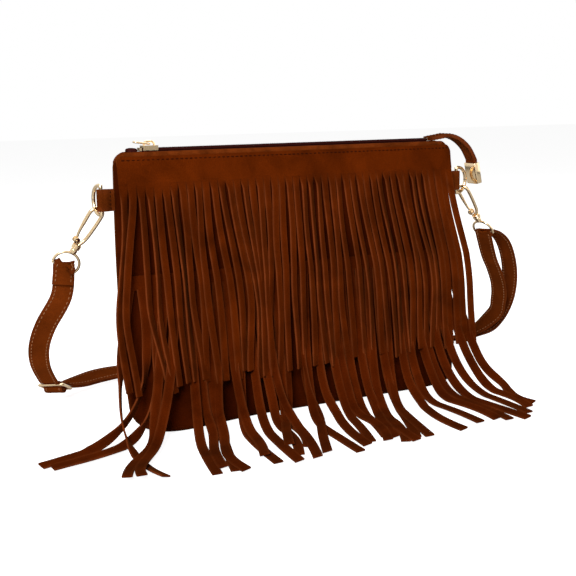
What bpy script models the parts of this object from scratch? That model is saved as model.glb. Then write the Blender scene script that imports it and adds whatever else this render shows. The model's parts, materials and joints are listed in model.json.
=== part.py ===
"""Suede zip pouch with two tiers of cut fringe on its front and a clip-on shoulder strap.

Metres, +Z up. The origin is on the floor under the middle of the pouch, X runs along its width
and the fringed front faces -Y.
"""

import math

import bmesh
import bpy
from mathutils import Matrix, Vector

# Driving dimensions, in metres
FIT_GAP = 0.0003
SUEDE = 0.0013

BAG_TOP_WIDTH = 0.275
BAG_BOTTOM_WIDTH = 0.281
BAG_HEIGHT = 0.192
BAG_TOP_DEPTH = 0.012
BAG_BASE_DEPTH = 0.044
SIDE_DEPTH = 0.0054
MOUTH_SQUARENESS = 12
TOP_CORNER_RADIUS = 0.009
BOTTOM_CORNER_RADIUS = 0.014
BASE_EDGE_RADIUS = 0.009

LINING_THICKNESS = 0.0005
LINING_DROP = 0.003
LINING_INSET = 0.012

FRINGE_SIDE_INSET = 0.0006
UPPER_STRIP_COUNT = 46
UPPER_STRIP_WIDTH = 0.0053
UPPER_FRINGE_BELOW_MOUTH = 0.002
UPPER_FRINGE_TOP = BAG_HEIGHT - UPPER_FRINGE_BELOW_MOUTH
UPPER_HEADER = 0.022
UPPER_FRINGE_DROP = 0.157
UPPER_HANG_GAP = 0.0085
LOWER_STRIP_COUNT = 35
LOWER_STRIP_WIDTH = 0.0068
LOWER_FRINGE_BELOW_MOUTH = 0.083
LOWER_FRINGE_TOP = BAG_HEIGHT - LOWER_FRINGE_BELOW_MOUTH
LOWER_HEADER = 0.009
LOWER_HANG_GAP = 0.0006
LOWER_STAND_OFF = 0.0067

TAPE_THICKNESS = 0.0005
TAPE_DEPTH = 0.013
TAPE_RISE = 0.0012
TAPE_LEFT_INSET = 0.0110
TAPE_RIGHT_INSET = 0.0150
TAPE_START = TAPE_LEFT_INSET - BAG_TOP_WIDTH / 2
TAPE_END = BAG_TOP_WIDTH / 2 - TAPE_RIGHT_INSET
COIL_WIDTH = 0.0020
COIL_HEIGHT = 0.0022
COIL_SPLIT = 0.0010
COIL_LEFT_INSET = 0.0090
COIL_RIGHT_INSET = 0.0055
COIL_START = TAPE_START + COIL_LEFT_INSET
COIL_END = TAPE_END - COIL_RIGHT_INSET
STOP_LENGTH = 0.0018

SLIDER_LENGTH = 0.0110
SLIDER_PLATE = 0.0011
SLIDER_FLANGE = 0.0007
SLIDER_WEB = 0.0004
BRIDGE_RADIUS = 0.0008
BRIDGE_RISE = 0.0030
PULL_LENGTH = 0.0125
PULL_WIDTH = 0.0062
PULL_WIRE_RADIUS = 0.0007
PULL_SLOPE_DEG = 8.0

END_TAB_WIDTH = 0.0120
END_TAB_THICKNESS = 0.0030
END_CAP_LENGTH = 0.0170
END_CAP_WALL = 0.0009

SIDE_TAB_WIDTH = 0.0150
RING_BELOW_MOUTH = 0.031
RING_HEIGHT = BAG_HEIGHT - RING_BELOW_MOUTH
RING_BAR_STAND_OFF = 0.00952
RING_WIRE_RADIUS = 0.00135
RING_HALF_HEIGHT = 0.01015
RING_DEPTH = 0.0120

HOOK_WIRE_RADIUS = 0.00135
HOOK_LENGTH = 0.035
HOOK_HALF_WIDTH = 0.00515
HOOK_THROAT = 0.0195
HOOK_LINK_GAP = 0.0006
COLLAR_RADIUS = 0.0032
COLLAR_HEIGHT = 0.0036
CHEEK_RADIUS = 0.0023
CHEEK_THICKNESS = 0.0008
GATE_PIN_OUT = 0.0031
GATE_PIN_UP = 0.0066
GATE_PIN_RADIUS = 0.0007
GATE_EYE_THICKNESS = 0.0016
GATE_WIRE_RADIUS = 0.0012
RUNNING_GAP = 0.0002

EYE_WIRE_RADIUS = 0.0010
EYE_HALF_WIDTH = 0.0102
EYE_DROP = 0.0155
POST_RADIUS = 0.0013
POST_HEAD_RADIUS = 0.0021
POST_HEAD_HEIGHT = 0.0011

STRAP_WIDTH = 0.015
STRAP_THICKNESS = 0.0014
STRAP_LAYER_PITCH = 0.0018
STRAP_OVERLAP = 0.013
BUCKLE_WIRE_RADIUS = 0.0011
BUCKLE_HALF_WIDTH = 0.0100
BUCKLE_HALF_LENGTH = 0.0080
BUCKLE_PLACE = (-0.1640, 0.0850, 0.0125)

# Each side's D-ring: the way it points from its bar, where the hook hangs on it and how the hook leans
LEFT_RING_AIM_DEG = 82.0
RIGHT_RING_AIM_DEG = 17.0
LEFT_HANG_DEG = -60.0
RIGHT_HANG_DEG = -50.0
LEFT_HOOK_LEAN = 0.43
RIGHT_HOOK_LEAN = -0.08

SUEDE_BROWN = (0.155, 0.030, 0.008)
STRAP_BROWN = (0.200, 0.045, 0.012)
TAPE_MAROON = (0.045, 0.008, 0.007)
LINING_BLACK = (0.020, 0.016, 0.014)
PALE_GOLD = (0.760, 0.560, 0.330)

UP = Vector((0, 0, 1))

for old_object in list(bpy.data.objects):
    bpy.data.objects.remove(old_object, do_unlink=True)

bag_collection = bpy.data.collections.new("fringed_suede_bag")
cutter_collection = bpy.data.collections.new("cutters")
bpy.context.scene.collection.children.link(bag_collection)
bpy.context.scene.collection.children.link(cutter_collection)


def finish_material(name, colour, roughness, metallic):
    """One Principled BSDF in a plain colour."""
    made = bpy.data.materials.new(name)
    made.use_nodes = True
    shader = made.node_tree.nodes["Principled BSDF"]
    shader.inputs["Base Color"].default_value = (*colour, 1)
    shader.inputs["Roughness"].default_value = roughness
    shader.inputs["Metallic"].default_value = metallic
    return made


suede = finish_material("suede", SUEDE_BROWN, 0.95, 0)
strap_suede = finish_material("strap_suede", STRAP_BROWN, 0.9, 0)
zip_fabric = finish_material("zip_fabric", TAPE_MAROON, 0.7, 0)
lining_cloth = finish_material("lining_cloth", LINING_BLACK, 0.8, 0)
gold_metal = finish_material("gold_metal", PALE_GOLD, 0.25, 1)


def pivot(name, frame, parent=None):
    """An empty on a joint's axis, in the joint's own frame, which carries the pieces that turn there."""
    empty = bpy.data.objects.new(name, None)
    bag_collection.objects.link(empty)
    empty.parent = parent
    empty.matrix_world = frame
    return empty


def add_mesh(name, mesh, material, carrier=None):
    """Put a mesh, given in world coordinates, in the bag's collection, under its carrier if it moves."""
    mesh.materials.append(material)
    piece = bpy.data.objects.new(name, mesh)
    bag_collection.objects.link(piece)
    if carrier:
        bpy.context.view_layer.update()
        piece.parent = carrier
        piece.matrix_parent_inverse = carrier.matrix_world.inverted()
    return piece


def mesh_from(bm, name, smooth=True):
    """Close a bmesh's normals outwards and turn it into a mesh."""
    bmesh.ops.remove_doubles(bm, verts=bm.verts, dist=1e-6)
    bmesh.ops.recalc_face_normals(bm, faces=bm.faces)
    mesh = bpy.data.meshes.new(name)
    bm.to_mesh(mesh)
    bm.free()
    if smooth:
        mesh.shade_smooth()
        mesh.set_sharp_from_angle(angle=math.radians(40))
    return mesh


def thick_sheet(name, columns, rows, place, material, keep=None):
    """A sheet of one thickness: a grid, less the cells that keep leaves out, extruded to a second face.

    place(i, j, inner) gives the point of column line i and row line j on the outer or inner face.
    """
    bm = bmesh.new()
    bmesh.ops.create_grid(bm, x_segments=columns, y_segments=rows, size=1)

    def lines(point):
        return round((point.x + 1) / 2 * columns), round((1 - point.y) / 2 * rows)

    if keep:
        cut = []
        for face in bm.faces:
            middle = face.calc_center_median()
            column = math.floor((middle.x + 1) / 2 * columns)
            row = math.floor((1 - middle.y) / 2 * rows)
            if not keep(column, row):
                cut.append(face)
        bmesh.ops.delete(bm, geom=cut, context="FACES")
    outer = [(vert, *lines(vert.co)) for vert in bm.verts]
    grown = bmesh.ops.extrude_face_region(bm, geom=list(bm.faces), use_keep_orig=True)
    inner = [(vert, *lines(vert.co)) for vert in grown["geom"] if isinstance(vert, bmesh.types.BMVert)]
    for vert, i, j in outer:
        vert.co = place(i, j, False)
    for vert, i, j in inner:
        vert.co = place(i, j, True)
    return add_mesh(name, mesh_from(bm, name), material)


def loft(name, rings, material, carrier=None, smooth=True):
    """A closed solid through rings of equally many points, with a flat cap on the first and the last."""
    bm = bmesh.new()
    loops = [[bm.verts.new(point) for point in ring] for ring in rings]
    count = len(rings[0])
    for first, second in zip(loops, loops[1:]):
        for k in range(count):
            bm.faces.new((first[k], first[(k + 1) % count], second[(k + 1) % count], second[k]))
    bm.faces.new(loops[0])
    bm.faces.new(reversed(loops[-1]))
    return add_mesh(name, mesh_from(bm, name, smooth), material, carrier)


def smooth_through(points, steps):
    """Points of a Catmull-Rom curve through the given ones, steps of them for each span."""
    padded = [points[0] * 2 - points[1], *points, points[-1] * 2 - points[-2]]
    found = []
    for a, b, c, d in zip(padded, padded[1:], padded[2:], padded[3:]):
        for step in range(steps):
            t = step / steps
            found.append(0.5 * (2 * b + (c - a) * t + (2 * a - 5 * b + 4 * c - d) * t**2 + (3 * b - a - 3 * c + d) * t**3))
    found.append(points[-1].copy())
    return found


def ribbon(name, path, across, width, thickness, material):
    """A flat band along a path: a rectangle square to the path at each point, its width along across."""
    rings = []
    for k, point in enumerate(path):
        before, after = path[max(k - 1, 0)], path[min(k + 1, len(path) - 1)]
        tangent = (after - before).normalized()
        side = (across[k] - tangent * across[k].dot(tangent)).normalized() * width / 2
        lift = tangent.cross(side).normalized() * thickness / 2
        rings.append([point + side + lift, point - side + lift, point - side - lift, point + side - lift])
    return loft(name, rings, material)


def tube(name, points, radius, material, carrier=None, cyclic=False, sides=2):
    """Round wire along a path, made a mesh with its caps welded."""
    curve = bpy.data.curves.new(name, "CURVE")
    curve.dimensions = "3D"
    curve.bevel_depth = radius
    curve.bevel_resolution = sides
    curve.use_fill_caps = True
    spline = curve.splines.new("POLY")
    spline.points.add(len(points) - 1)
    for target, point in zip(spline.points, points):
        target.co = (*point, 1)
    spline.use_cyclic_u = cyclic
    guide = bpy.data.objects.new(name + "_path", curve)
    cutter_collection.objects.link(guide)
    bpy.context.view_layer.update()
    mesh = bpy.data.meshes.new_from_object(guide.evaluated_get(bpy.context.evaluated_depsgraph_get()))
    bpy.data.objects.remove(guide)
    bm = bmesh.new()
    bm.from_mesh(mesh)
    bpy.data.meshes.remove(mesh)
    return add_mesh(name, mesh_from(bm, name), material, carrier)


def round_bar(name, start, end, radius, material, carrier=None, sides=12):
    """A cylinder between two points."""
    axis = end - start
    turn = UP.rotation_difference(axis).to_matrix().to_4x4()
    bm = bmesh.new()
    bmesh.ops.create_cone(
        bm,
        cap_ends=True,
        segments=sides,
        radius1=radius,
        radius2=radius,
        depth=axis.length,
        matrix=Matrix.Translation((start + end) / 2) @ turn,
    )
    return add_mesh(name, mesh_from(bm, name), material, carrier)


def as_tool(piece):
    """Make a piece a hidden helper of a Boolean."""
    bag_collection.objects.unlink(piece)
    cutter_collection.objects.link(piece)
    piece.hide_render = True
    piece.display_type = "WIRE"
    return piece


def combine(piece, tool, operation):
    modifier = piece.modifiers.new(operation.lower(), "BOOLEAN")
    modifier.operation = operation
    modifier.object = as_tool(tool)


# The pouch's outer form
BASE_ROW_COUNT = 4
BASE_SEAM_SHIFT = 0.004
SEAM_STRAIGHT_OUT_TO = BAG_BOTTOM_WIDTH * 0.20
SEAM_CENTRED_FROM = BAG_BOTTOM_WIDTH * 0.41
FACE_HEIGHTS = (
    BAG_HEIGHT,
    BAG_HEIGHT - TOP_CORNER_RADIUS * 0.13,
    BAG_HEIGHT - TOP_CORNER_RADIUS * 0.5,
    BAG_HEIGHT - TOP_CORNER_RADIUS,
    BAG_HEIGHT * 0.72,
    BAG_HEIGHT * 0.48,
    BAG_HEIGHT * 0.26,
    BAG_HEIGHT * 0.13,
    BASE_EDGE_RADIUS,
)
WIDTH_SHARES = (-1, -0.975, -0.93, -0.85, -0.7, -0.45, -0.15, 0.15, 0.45, 0.7, 0.85, 0.93, 0.975, 1)


def corner_cut(distance, radius):
    """How far a round corner draws the side edge in, at a distance from the horizontal edge."""
    if distance >= radius:
        return 0.0
    return radius - math.sqrt(radius**2 - (radius - max(distance, 0)) ** 2)


def half_width(z):
    """Half the width of the pouch at a height, corners included."""
    half = (BAG_BOTTOM_WIDTH + (BAG_TOP_WIDTH - BAG_BOTTOM_WIDTH) * z / BAG_HEIGHT) / 2
    return half - corner_cut(z, BOTTOM_CORNER_RADIUS) - corner_cut(BAG_HEIGHT - z, TOP_CORNER_RADIUS)


def half_depth(x, z):
    """Half the stuffed pouch's depth: a wedge from base to mouth, drawn in to the two side seams."""
    full = (BAG_BASE_DEPTH + (BAG_TOP_DEPTH - BAG_BASE_DEPTH) * min(max(z / BAG_HEIGHT, 0), 1) ** 0.9) / 2
    share = min(abs(x) / half_width(min(max(z, 0), BAG_HEIGHT)), 1)
    squareness = 4 + MOUTH_SQUARENESS * min(max(z / BAG_HEIGHT, 0), 1) ** 3
    return SIDE_DEPTH / 2 + (full - SIDE_DEPTH / 2) * (1 - share**squareness) ** 0.6


def base_seam(x):
    """How far behind the middle plane the base seam runs."""
    drawn_back = (SEAM_CENTRED_FROM - abs(x)) / (SEAM_CENTRED_FROM - SEAM_STRAIGHT_OUT_TO)
    return BASE_SEAM_SHIFT * min(max(drawn_back, 0), 1)


def panel_place(side):
    """Points of the front panel (side -1) or back panel (side 1): a face, a rounded foot and its share of
    the base. The base seam lies a little behind the middle, so that the front panel's foot spans the origin.
    """

    def place(i, j, inner):
        inset = SUEDE if inner else 0
        turned_in = i in (0, len(WIDTH_SHARES) + 1)
        share = WIDTH_SHARES[min(max(i - 1, 0), len(WIDTH_SHARES) - 1)]
        if j < len(FACE_HEIGHTS):
            z = FACE_HEIGHTS[j]
            y = half_depth(share * half_width(z), z) - inset
        else:
            base = half_depth(share * half_width(0), 0)
            radius = min(BASE_EDGE_RADIUS, base - FIT_GAP)
            step = min(j - len(FACE_HEIGHTS) + 1, BASE_ROW_COUNT - 1)
            turn = math.radians(90) * step / (BASE_ROW_COUNT - 1)
            z = radius - (radius - inset) * math.sin(turn)
            y = base - radius + (radius - inset) * math.cos(turn)
        x = share * half_width(z) - math.copysign(inset, share) * (abs(share) == 1)
        if j == len(FACE_HEIGHTS) + BASE_ROW_COUNT - 1:
            y = FIT_GAP / 2 + side * base_seam(x)
        if turned_in:
            y = FIT_GAP / 2
        return Vector((x, side * y, z))

    return place


for panel_name, panel_side in (("front_panel", -1), ("back_panel", 1)):
    thick_sheet(
        panel_name,
        len(WIDTH_SHARES) + 1,
        len(FACE_HEIGHTS) + BASE_ROW_COUNT - 1,
        panel_place(panel_side),
        suede,
    )


# Lining: an open pouch that follows the panels on the inside
LINING_LAYER = SUEDE + TAPE_THICKNESS + 4 * FIT_GAP
LINING_SHARES = (-1, -0.9, -0.7, -0.35, 0, 0.35, 0.7, 0.9, 1)
LINING_HEIGHTS = (
    BAG_HEIGHT - LINING_DROP,
    BAG_HEIGHT - TAPE_DEPTH,
    BAG_HEIGHT * 0.70,
    BAG_HEIGHT * 0.46,
    BAG_HEIGHT * 0.24,
    BAG_HEIGHT * 0.08,
)


def lining_ring(z, depth_cut, inset):
    """One turn of the lining at a height, drawn in by its own thickness on the inner face."""
    half = half_width(max(z, BOTTOM_CORNER_RADIUS)) - LINING_INSET - inset
    near = []
    for share in LINING_SHARES:
        x = share * half
        y = half_depth(x, z) - LINING_LAYER - depth_cut - inset
        near.append(Vector((x, -y, z)))
    return near + [Vector((point.x, -point.y, z)) for point in reversed(near)]


lining_floor = SUEDE + FIT_GAP
lining_outside = [lining_ring(z, 0, 0) for z in LINING_HEIGHTS]
lining_outside += [lining_ring(0.005, 0.0028, 0), lining_ring(lining_floor, 0.0062, 0)]
lining_inside = [lining_ring(z, 0, LINING_THICKNESS) for z in LINING_HEIGHTS]
lining_inside += [
    lining_ring(0.005 + LINING_THICKNESS / 2, 0.0028, LINING_THICKNESS),
    lining_ring(lining_floor + LINING_THICKNESS, 0.0062, LINING_THICKNESS),
]
loft("lining", list(reversed(lining_outside)) + lining_inside, lining_cloth)


# Two sheets of suede cut into strips
def strip_left_edge(k, count, width):
    """The strips share the sheet's width evenly, the first and last flush with its sides."""
    sheet_width = BAG_TOP_WIDTH - 2 * FRINGE_SIDE_INSET
    return -sheet_width / 2 + k * (sheet_width - width) / (count - 1)


def fringe_front(x, z, gap, bridge=0.0):
    """How far in front of the seam plane the suede hangs; a strip bridges a width of the curved panel."""
    near_x = min(abs(x), half_width(max(z, BOTTOM_CORNER_RADIUS)) * 0.995) - bridge
    return -(half_depth(max(near_x, 0), max(z, 0)) + gap)


def strip_sway(k, fall):
    """Sideways drift of strip k on its way down: shared waves, with a few tufts that close up."""
    rest = 2 * (k + 0.5) / UPPER_STRIP_COUNT - 1
    tufts =0.0016 * math.sin(9.5 * rest + 0.6) + 0.0011 * math.sin(23.0 * rest + 1.1)
    return (tufts + 0.0015 * rest) * fall**1.4


def strip_length_share(k):
    """Uneven tips, cut by eye."""
    return 1 + 0.012 * math.sin(7.3 * k) + 0.010 * math.sin(2.9 * k + 1)


UPPER_ROW_FALLS = (0, 0.12, 0.34, 1)
UPPER_STRIP_FALLS = (0.0, 0.25, 0.52, 0.78, 1.0)


def upper_place(i, j, inner):
    """Points of the upper fringe: two header rows, then strips that hang clear of the lower tier."""
    k, right = divmod(i, 2)
    header_rows = len(UPPER_ROW_FALLS) - 1
    if j <= header_rows:
        z = UPPER_FRINGE_TOP - UPPER_HEADER * UPPER_ROW_FALLS[j]
        fall = 0.0
    else:
        fall = UPPER_STRIP_FALLS[j - header_rows]
        strip_drop = (UPPER_FRINGE_DROP - UPPER_HEADER) * strip_length_share(k)
        z = UPPER_FRINGE_TOP - UPPER_HEADER - strip_drop * fall
    x = strip_left_edge(k, UPPER_STRIP_COUNT, UPPER_STRIP_WIDTH) + (UPPER_STRIP_WIDTH if right else 0)
    x *= half_width(z) / half_width(UPPER_FRINGE_TOP - UPPER_HEADER) if j < header_rows else 1
    x += strip_sway(k, fall)
    lift = min(max((UPPER_FRINGE_TOP - z) / (UPPER_FRINGE_TOP - LOWER_FRINGE_TOP), 0), 1.2)
    gap = FIT_GAP + (UPPER_HANG_GAP - FIT_GAP) * lift**1.5
    curl = 0.0008 * math.sin(2.3 * k + 4 * fall) * fall * (1 if right else -1)
    y = fringe_front(x, z, gap, UPPER_STRIP_WIDTH * max(lift, 0.4)) + curl - (0 if inner else SUEDE)
    return Vector((x, y, z))


thick_sheet(
    "upper_fringe",
    2 * UPPER_STRIP_COUNT - 1,
    len(UPPER_ROW_FALLS) + len(UPPER_STRIP_FALLS) - 2,
    upper_place,
    suede,
    keep=lambda column, row: row < len(UPPER_ROW_FALLS) - 1 or column % 2 == 0,
)

# How the lower strips lie, read along the front: (share along the fringe, the tip's sideways shift, its place in
# front of the seam). Between two rows the tips lie on a straight line.
LOWER_TIPS = (
    (-1.00, -0.081, -0.058),
    (-0.94, -0.082, -0.066),
    (-0.88, -0.067, -0.090),
    (-0.82, -0.064, -0.109),
    (-0.76, -0.063, -0.116),
    (-0.70, -0.026, -0.124),
    (-0.53, -0.030, -0.126),
    (-0.23, -0.023, -0.124),
    (0.00, -0.024, -0.128),
    (0.53, -0.037, -0.128),
    (0.60, -0.016, -0.127),
    (0.72, 0.002, -0.122),
    (0.83, 0.010, -0.125),
    (1.00, 0.015, -0.102),
)
LOWER_CURVE_STEPS = (0.0, 0.12, 0.24, 0.36, 0.50, 0.66, 0.83, 1.0)
LOWER_LAYER = SUEDE + FIT_GAP
LOWER_PULL_DOWN = 0.020


def tip_place(share):
    """The sideways shift and the place in front of the seam of the tip at this share along the fringe."""
    for (a, shift_a, front_a), (b, shift_b, front_b) in zip(LOWER_TIPS, LOWER_TIPS[1:]):
        if share <= b:
            ease = (share - a) / (b - a)
            return shift_a + (shift_b - shift_a) * ease, front_a + (front_b - front_a) * ease
    return LOWER_TIPS[-1][1:]


def lower_strip_path(k):
    """Middle line of lower strip k: a cubic curve down before the panel and out along the floor to its tip."""
    x_top = strip_left_edge(k, LOWER_STRIP_COUNT, LOWER_STRIP_WIDTH) + LOWER_STRIP_WIDTH / 2
    shift, tip_front = tip_place(2 * k / (LOWER_STRIP_COUNT - 1) - 1)
    z_top = LOWER_FRINGE_TOP - LOWER_HEADER
    floor_level = (SUEDE + LOWER_LAYER) / 2
    stand_gap = FIT_GAP + LOWER_HANG_GAP + SUEDE / 2
    root = Vector((x_top, fringe_front(x_top, z_top, stand_gap, LOWER_STRIP_WIDTH / 2), z_top))
    foot = Vector((x_top + 0.06 * shift, root.y - LOWER_STAND_OFF, floor_level - LOWER_PULL_DOWN))
    tip = Vector((x_top + shift, tip_front * strip_length_share(k), floor_level))
    lie = tip + (foot - tip) * 0.80
    lie.z = floor_level
    points = []
    for t in LOWER_CURVE_STEPS:
        hanging = root * (1 - t) ** 3 + foot * 3 * (1 - t) ** 2 * t
        point = hanging + lie * 3 * (1 - t) * t**2 + tip * t**3
        point.z = max(point.z, floor_level)
        points.append(point)
    return points


def lower_place(i, j, inner):
    """Points of the lower fringe: a narrow header under the upper tier, then strips in two layers."""
    k, right = divmod(i, 2)
    header_x = strip_left_edge(k, LOWER_STRIP_COUNT, LOWER_STRIP_WIDTH) + (LOWER_STRIP_WIDTH if right else 0)
    if j == 0:
        y = fringe_front(header_x, LOWER_FRINGE_TOP, FIT_GAP)
        return Vector((header_x, y - (0 if inner else SUEDE), LOWER_FRINGE_TOP))
    path = lower_strip_path(k)
    point = path[j - 1]
    tangent = (path[min(j, len(path) - 1)] - path[max(j - 2, 0)]).normalized()
    side = Vector((1, 0, 0))
    side = (side - tangent * side.dot(tangent)).normalized()
    outward = side.cross(tangent)
    if outward.y > 0 or outward.z < -0.5:
        outward = -outward
    half = LOWER_STRIP_WIDTH / 2 * (1 if right else -1)
    layer = (LOWER_LAYER / 2 if k % 2 else -LOWER_LAYER / 2) if j > 1 else 0
    placed = point + side * half + outward * (layer - SUEDE / 2 if inner else layer + SUEDE / 2)
    if j == 1:
        placed = Vector((header_x, placed.y, point.z))
    placed.z = max(placed.z, 0)
    return placed


thick_sheet(
    "lower_fringe",
    2 * LOWER_STRIP_COUNT - 1,
    len(LOWER_CURVE_STEPS),
    lower_place,
    suede,
    keep=lambda column, row: row < 1 or column % 2 == 0,
)


# Zip: two tapes sewn inside the mouth, a coil on each, stops, slider and pull
tape_top = BAG_HEIGHT + TAPE_RISE
coil_bottom = tape_top + FIT_GAP
coil_top = coil_bottom + COIL_HEIGHT
coil_outer = COIL_SPLIT / 2 + COIL_WIDTH


def bar_along_x(name, section, start, end, material, carrier=None):
    """A (y, z) section carried straight along X."""
    rings = [[Vector((x, y, z)) for y, z in section] for x in (start, end)]
    return loft(name, rings, material, carrier, smooth=False)


def rectangle(y0, y1, z0, z1):
    return [(y0, z0), (y1, z0), (y1, z1), (y0, z1)]


TAPE_COLUMNS = 16


def tape_place(side):
    """Points of one tape: level from the coil to the panel, then down inside the mouth."""

    def place(i, j, inner):
        inset = TAPE_THICKNESS if inner else 0
        x = TAPE_START + (TAPE_END - TAPE_START) * (1 - math.cos(math.pi * i / TAPE_COLUMNS)) / 2
        z = BAG_HEIGHT - TAPE_DEPTH if j == 2 else tape_top - inset
        reach = half_depth(x, z) - SUEDE - 2 * FIT_GAP - inset
        return Vector((x, side * (COIL_SPLIT if j == 0 else reach), z))

    return place


for side_name, side in (("front", -1), ("back", 1)):
    thick_sheet(f"zip_tape_{side_name}", TAPE_COLUMNS, 2, tape_place(side), zip_fabric)
    coil_section = rectangle(side * COIL_SPLIT / 2, side * coil_outer, coil_bottom, coil_top)
    bar_along_x(f"zip_coil_{side_name}", coil_section, COIL_START, COIL_END, zip_fabric)
    stop_end = COIL_START - FIT_GAP
    bar_along_x(f"zip_top_stop_{side_name}", coil_section, stop_end - STOP_LENGTH, stop_end, gold_metal)

bottom_stop_start = COIL_END + FIT_GAP
bottom_stop_section = rectangle(-coil_outer, coil_outer, coil_bottom, coil_top)
bar_along_x(
    "zip_bottom_stop", bottom_stop_section, bottom_stop_start, bottom_stop_start + STOP_LENGTH, gold_metal
)

slider_start = COIL_START + FIT_GAP
slider_middle = slider_start + SLIDER_LENGTH / 2
lid_bottom = coil_top + FIT_GAP
lid_top = lid_bottom + SLIDER_PLATE
flange_inner = coil_outer + FIT_GAP
flange_outer = flange_inner + SLIDER_FLANGE
foot_top = tape_top - TAPE_THICKNESS - FIT_GAP
foot_bottom = foot_top - SLIDER_PLATE
foot_half = flange_outer - 3 * FIT_GAP
half_slider_section = [
    (flange_outer, lid_top),
    (flange_outer, coil_bottom + FIT_GAP),
    (flange_inner, coil_bottom + FIT_GAP),
    (flange_inner, lid_bottom),
    (SLIDER_WEB / 2, lid_bottom),
    (SLIDER_WEB / 2, foot_top),
    (foot_half, foot_top),
    (foot_half, foot_bottom),
]
slider_section = half_slider_section + [(-y, z) for y, z in reversed(half_slider_section)]
slider_pivot = pivot("zip_slider_pivot", Matrix.Translation((slider_middle, 0, lid_top)))
zip_slider = bar_along_x(
    "zip_slider", slider_section, slider_start, slider_start + SLIDER_LENGTH, gold_metal, slider_pivot
)
bridge_half = SLIDER_LENGTH / 2 - 2 * BRIDGE_RADIUS
bridge_foot = lid_top - SLIDER_PLATE / 2
bridge_line = []
for step in range(9):
    turn = math.pi * step / 8
    rise = (BRIDGE_RISE + SLIDER_PLATE / 2) * math.sin(turn) ** 0.6
    bridge_line.append(Vector((slider_middle - bridge_half * math.cos(turn), 0, bridge_foot + rise)))
combine(zip_slider, tube("slider_bridge", bridge_line, BRIDGE_RADIUS, gold_metal), "UNION")

pull_axis = Vector((slider_middle, 0, lid_top + PULL_WIRE_RADIUS + FIT_GAP))
pull_pivot = pivot("zip_pull_pivot", Matrix.Translation(pull_axis), slider_pivot)
pull_slope = math.radians(PULL_SLOPE_DEG)
pull_line = []
for step in range(16):
    turn = 2 * math.pi * step / 16
    along = PULL_LENGTH / 2 - PULL_WIRE_RADIUS
    out = -along * (1 - math.copysign(abs(math.cos(turn)) ** 0.8, math.cos(turn)))
    y = (PULL_WIDTH / 2 - PULL_WIRE_RADIUS) * math.copysign(abs(math.sin(turn)) ** 0.7, math.sin(turn))
    pull_line.append(pull_axis + Vector((out * math.cos(pull_slope), y, -out * math.sin(pull_slope))))
tube("zip_pull", pull_line, PULL_WIRE_RADIUS, gold_metal, pull_pivot, cyclic=True)


# Zip tail: a suede tab over the tape ends at the right, in a folded metal end cap
TAIL_START_GAP = 0.0006
mouth_end = Vector((BAG_TOP_WIDTH / 2, 0, BAG_HEIGHT))
tail_route = [
    Vector((bottom_stop_start + STOP_LENGTH + TAIL_START_GAP, 0, coil_bottom + END_TAB_THICKNESS / 2)),
    mouth_end + Vector((-0.0085, 0, 0.0042)),
    mouth_end + Vector((-0.0005, 0, 0.0050)),
    mouth_end + Vector((0.0095, 0, 0.0020)),
    mouth_end + Vector((0.0185, 0, -0.0050)),
    mouth_end + Vector((0.0245, 0, -0.0145)),
]
tail_aim = Vector((0.20, 0, -0.98)).normalized()
cap_mouth = tail_route[-1] + tail_aim * 0.003
cap_end = cap_mouth + tail_aim * END_CAP_LENGTH
tail_tip = cap_end - tail_aim * (END_CAP_WALL + FIT_GAP)
tail_path = smooth_through(tail_route, 2) + [cap_mouth, tail_tip]
ribbon(
    "zip_end_tab", tail_path, [Vector((0, 1, 0))] * len(tail_path), END_TAB_WIDTH, END_TAB_THICKNESS, suede
)


def cap_ring(centre, wall):
    """A rectangle round the tab's section, grown by a wall."""
    out = Vector((0, 1, 0)) * (END_TAB_WIDTH / 2 + FIT_GAP + wall)
    lift = tail_aim.cross(Vector((0, 1, 0))) * (END_TAB_THICKNESS / 2 + FIT_GAP + wall)
    return [centre + out + lift, centre - out + lift, centre - out - lift, centre + out - lift]


cap_floor = cap_end - tail_aim * END_CAP_WALL
loft(
    "zip_end_cap",
    [cap_ring(cap_end, END_CAP_WALL), cap_ring(cap_mouth, END_CAP_WALL), cap_ring(cap_mouth, 0), cap_ring(cap_floor, 0)],
    gold_metal,
    smooth=False,
)


# Side tab: a suede strip folded round the D-ring's bar, its two ends caught in the side seam
ring_bar_out = half_width(RING_HEIGHT) + RING_BAR_STAND_OFF


def side_tab(name, sign):
    edge = half_width(RING_HEIGHT) + FIT_GAP
    layer = (SUEDE + FIT_GAP) / 2
    loop = RING_WIRE_RADIUS + FIT_GAP + SUEDE / 2
    neck = ring_bar_out - loop - 0.0012
    outline = [(edge, -layer), (edge + 0.003, -layer), (neck, -loop * 0.85)]
    outline += [
        (ring_bar_out + loop * math.cos(turn), loop * math.sin(turn))
        for turn in (math.radians(-110 + 27.5 * step) for step in range(9))
    ]
    outline += [(x, -y) for x, y in reversed(outline[:3])]
    path = [Vector((sign * x, y, RING_HEIGHT)) for x, y in outline]
    ribbon(name, path, [UP] * len(path), SIDE_TAB_WIDTH, SUEDE, suede)


def ring_point(ring_aim, turn):
    """A point of the D-ring's wire, from its bar's middle."""
    out = RING_DEPTH * max(math.cos(turn), 0) ** 0.7
    return ring_aim * out + UP * RING_HALF_HEIGHT * math.sin(turn)


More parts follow.
